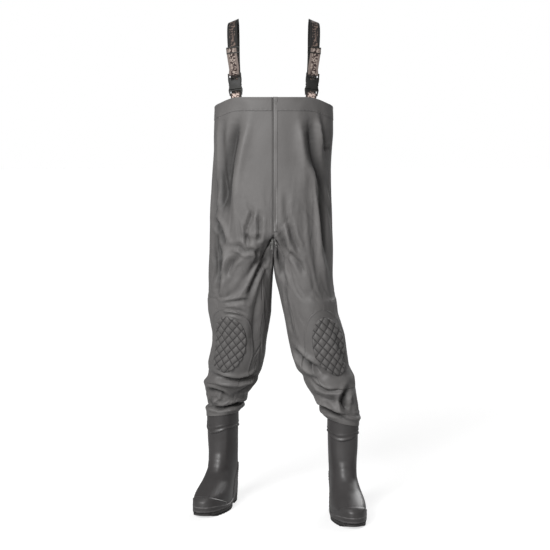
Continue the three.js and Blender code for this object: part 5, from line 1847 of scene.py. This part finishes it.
@dataclass
class Buckle:
    """A side-release buckle and the slider above it."""

    strap: Suspender

    def plate(self, name: str, xs: Sequence[float], zs: Sequence[float], holes: set[tuple[int, int]],
              depth: float, shape: Shape, rounding: float = 0.8) -> Piece:
        """A moulded plate with openings.

        Args:
            name: the piece's name after the side.
            xs: grid lines across.
            zs: grid lines along the strap.
            holes: cells left open, as column and row.
            depth: thickness.
            shape: moves a vertex of the plate, given x, y and z.
            rounding: edge radius.

        Returns:
            The piece.
        """
        mesh = bmesh.new()
        columns, rows = len(xs) - 1, len(zs) - 1
        bmesh.ops.create_grid(mesh, x_segments=columns, y_segments=rows, size=0.5)
        empty = []
        for face in mesh.faces:
            middle = face.calc_center_median()
            if (int((middle.x + 0.5) * columns), int((middle.y + 0.5) * rows)) in holes:
                empty.append(face)
        for vertex in mesh.verts:
            column, row = round((vertex.co.x + 0.5) * columns), round((vertex.co.y + 0.5) * rows)
            vertex.co = (xs[column], -depth / 2, zs[row])
        bmesh.ops.delete(mesh, geom=empty, context="FACES")
        raised = bmesh.ops.extrude_face_region(mesh, geom=mesh.faces[:])
        for item in raised["geom"]:
            if isinstance(item, bmesh.types.BMVert):
                item.co.y = depth / 2
        for vertex in mesh.verts:
            vertex.co = shape(*vertex.co)
        points = to_row(self.strap.lay(np.array([vertex.co for vertex in mesh.verts])))
        for vertex, point in zip(mesh.verts, points):
            vertex.co = point
        bmesh.ops.recalc_face_normals(mesh, faces=mesh.faces[:])
        piece = Make.finish(mesh, f"{self.strap.half.name}_{name}", self.strap.coats["PLASTIC"])
        Make.round_edges(piece, rounding, 3)
        return piece

    def build(self) -> None:
        """Makes the socket, the insert with its prongs, and the slider."""
        side = self.strap.half.name
        self.socket(side)
        self.insert(side)
        self.slider(side)

    def socket(self, side: str) -> None:
        """The female part: a crowned body with two windows and a bar for the webbing."""
        start, end = self.strap.socket_start, self.strap.socket_end
        xs = [-19.5, -18.0, -15.7, -9.5, -1.5, 1.5, 9.5, 15.7, 18.0, 19.5]
        zs = [start, start + 5, start + 12, start + 20, 63.5, 65.0, 71.0, 74.0, 82.0, end]
        holes = {(3, 5), (5, 5)} | {(column, 7) for column in range(2, 7)}

        def shape(x: float, y: float, z: float) -> Triple:
            """Waisted sides, a crowned face and a slim bar end."""
            waist = 2.6 * math.exp(-(((z - start - 12) / 7) ** 2))
            narrow = 1 - waist / 19.5 if abs(x) > 15 else 1.0
            crown = 1.25 - 0.3 * (x / 19.5) ** 2 if z < 72 else 0.62
            return x * narrow, y * crown, z

        piece = self.plate("socket_shell", xs, zs, holes, 8.8, shape, 1.1)
        dress(piece, f"{side}_socket", "buckle_plastic", f"{side}_buckle_socket")

    def insert(self, side: str) -> None:
        """The male part: a frame with wings, a tongue, and its two prongs."""
        xs = [-19.6, -15.7, -9, -3, 3, 9, 15.7, 19.6]
        zs = [20.6, 25.0, 34.0, 38.0, 53.0]
        holes = {(column, 1) for column in range(1, 6)} | {(column, 3) for column in (0, 1, 2, 4, 5, 6)}

        def shape(x: float, y: float, z: float) -> Triple:
            """Wings that sweep out beside the socket's mouth."""
            flare = 1.05 if z > 30 and abs(x) > 16 else (0.96 if abs(x) > 16 else 1.0)
            slim = 0.72 if z > 39 else 1.0
            return x * flare, y * slim, z + (2.2 if abs(x) > 19 and z > 36 and z < 40 else 0.0)

        piece = self.plate("insert_frame", xs, zs, holes, 4.6, shape, 0.9)
        dress(piece, "garment", "buckle_plastic", f"{side}_buckle_insert")
        for name, direction in (("outer", self.strap.half.sign), ("inner", -self.strap.half.sign)):
            node = f"{side}_prong_{name}"
            xs = [-1.8, 1.8, 4.4, 6.9]
            zs = [38.9, 46.6, 50.2, 55.6, 58.6]

            def lever(x: float, y: float, z: float, direction: int = direction) -> Triple:
                """A springy leg whose barb swells out at the socket's side."""
                swell = math.exp(-(((z - 52.5) / 4.6) ** 2))
                out = x if x <= 1.8 else 1.8 + (x - 1.8) * swell
                return direction * (13.0 + out), y, z

            prong = self.plate(f"prong_{name}_lever", xs, zs, set(), 6.4, lever, 0.7)
            dress(prong, f"{side}_{name}_prong", "buckle_plastic", node)

    def slider(self, side: str) -> None:
        """The tri-glide that sets the strap's length."""
        middle = self.strap.slider_place
        xs = [-19.2, -16.0, -8, 0, 8, 16.0, 19.2]
        zs = [middle - 10, middle - 6.4, middle - 1.7, middle + 1.7, middle + 6.4, middle + 10]
        holes = {(column, row) for column in range(1, 5) for row in (1, 3)}
        ply = 3.1

        def shape(x: float, y: float, z: float) -> Triple:
            """The middle bar lies behind the webbing, and the outer bars in front."""
            inner = abs(z - middle) < 2 and abs(x) < 16.5
            place = 3.1 if inner else (-2.6 if abs(x) < 16.5 else 0.0)
            deep = 0.9 if abs(x) < 16.5 else 2.6
            return x, ply + place + y * deep, z

        piece = self.plate("glide", xs, zs, holes, 2.4, shape, 0.6)
        dress(piece, f"{side}_slider", "buckle_plastic", f"{side}_slider")


# ---------------------------------------------------------------- stage


@dataclass(frozen=True)
class Studio:
    """Camera, lights and floor.

    Attributes:
        distance: from the camera to the object, in metres.
        height: of the camera.
        pitch: how far it tips down, in degrees.
        lens: its focal length, in millimetres.
        aside: how far it stands to the side.
        ambient: strength of the light from all round.
        floor_tone: how pale the floor is.
        floor_glow: light that the camera sees it give.
    """

    distance: float = 5.0
    height: float = 1.2
    pitch: float = 5.56
    lens: float = 111.2
    aside: float = -0.0067
    ambient: float = 0.14
    floor_tone: float = 0.45
    floor_glow: float = 0.66

    def build(self) -> None:
        """Sets the stage."""
        self.camera()
        self.floor()
        self.sun("key", (-0.42, -1.0, 0.55), 22, 1.75)
        self.light("chest", (-1.0, -2.1, 1.75), (0, 0, 1.0), 0.9, 33)
        self.sun("back", (0.5, 1.0, 0.7), 40, 1.9)
        self.light("glint", (-0.5, -1.9, 3.4), (0, 0, 0.1), 0.6, 14)
        world = bpy.data.worlds.new("studio")
        bpy.context.scene.world = world
        world.use_nodes = True
        graph = Graph(world.node_tree)
        seen = graph.node("ShaderNodeLightPath").outputs["Is Camera Ray"]
        sky = world.node_tree.nodes["Background"]
        sky.inputs["Color"].default_value = (1, 1, 1, 1)
        graph.feed(sky, "Strength", graph.math("MULTIPLY_ADD", seen, 1.0 - self.ambient, self.ambient))
        bpy.context.scene.view_settings.view_transform = "Standard"

    def camera(self) -> None:
        """The camera, at the height of the bib and tipped down a little."""
        data = bpy.data.cameras.new("camera")
        data.lens = self.lens
        data.sensor_width = 36.0
        eye = bpy.data.objects.new("camera", data)
        eye.location = (self.aside, -self.distance, self.height)
        eye.rotation_euler = (math.radians(90 - self.pitch), 0, 0)
        bpy.context.scene.collection.objects.link(eye)
        bpy.context.scene.camera = eye

    def floor(self) -> None:
        """A wide pale floor."""
        mesh = bmesh.new()
        bmesh.ops.create_circle(mesh, cap_ends=True, radius=30.0, segments=64)
        bmesh.ops.translate(mesh, verts=mesh.verts[:], vec=(0, 0, -0.0004))
        material = bpy.data.materials.new("pale_floor")
        material.use_nodes = True
        graph = Graph(material.node_tree)
        shader = material.node_tree.nodes["Principled BSDF"]
        shader.inputs["Base Color"].default_value = (self.floor_tone, self.floor_tone, self.floor_tone, 1)
        shader.inputs["Roughness"].default_value = 0.9
        shader.inputs["Emission Color"].default_value = (1, 1, 1, 1)
        seen = graph.node("ShaderNodeLightPath").outputs["Is Camera Ray"]
        graph.feed(shader, "Emission Strength", graph.math("MULTIPLY", seen, self.floor_glow))
        Make.finish(mesh, "floor", material)

    @staticmethod
    def sun(name: str, place: Triple, spread: float, strength: float) -> None:
        """A distant soft light, as from a wide bank of lamps."""
        data = bpy.data.lights.new(name, "SUN")
        data.angle = math.radians(spread)
        data.energy = strength
        lamp = bpy.data.objects.new(name, data)
        lamp.rotation_euler = (-Vector(place)).to_track_quat("-Z", "Y").to_euler()
        bpy.context.scene.collection.objects.link(lamp)

    @staticmethod
    def light(name: str, place: Triple, aim: Triple, size: float, power_watts: float) -> None:
        """A soft square light."""
        data = bpy.data.lights.new(name, "AREA")
        data.size = size
        data.energy = power_watts
        lamp = bpy.data.objects.new(name, data)
        lamp.location = place
        lamp.rotation_euler = (Vector(aim) - Vector(place)).to_track_quat("-Z", "Y").to_euler()
        bpy.context.scene.collection.objects.link(lamp)


def main() -> None:
    """Builds the object in order and reports each piece."""
    logging.basicConfig(level=logging.INFO, format="%(name)s: %(message)s")
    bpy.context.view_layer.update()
    Studio().build()
    effects = Effects()
    coats = {coat.name: coat.value.build(effects) for coat in Coat}
    garment = Garment({"left": LEFT, "right": RIGHT}, CREASES)
    Panels(garment, coats).build()
    for half, centre in ((LEFT, LEFT_KNEE), (RIGHT, RIGHT_KNEE)):
        Knee(garment, half, coats, centre).build()
        Boot(half, coats).build()
        Suspender(half, garment, coats).build()


if __name__ == "__main__":
    main()
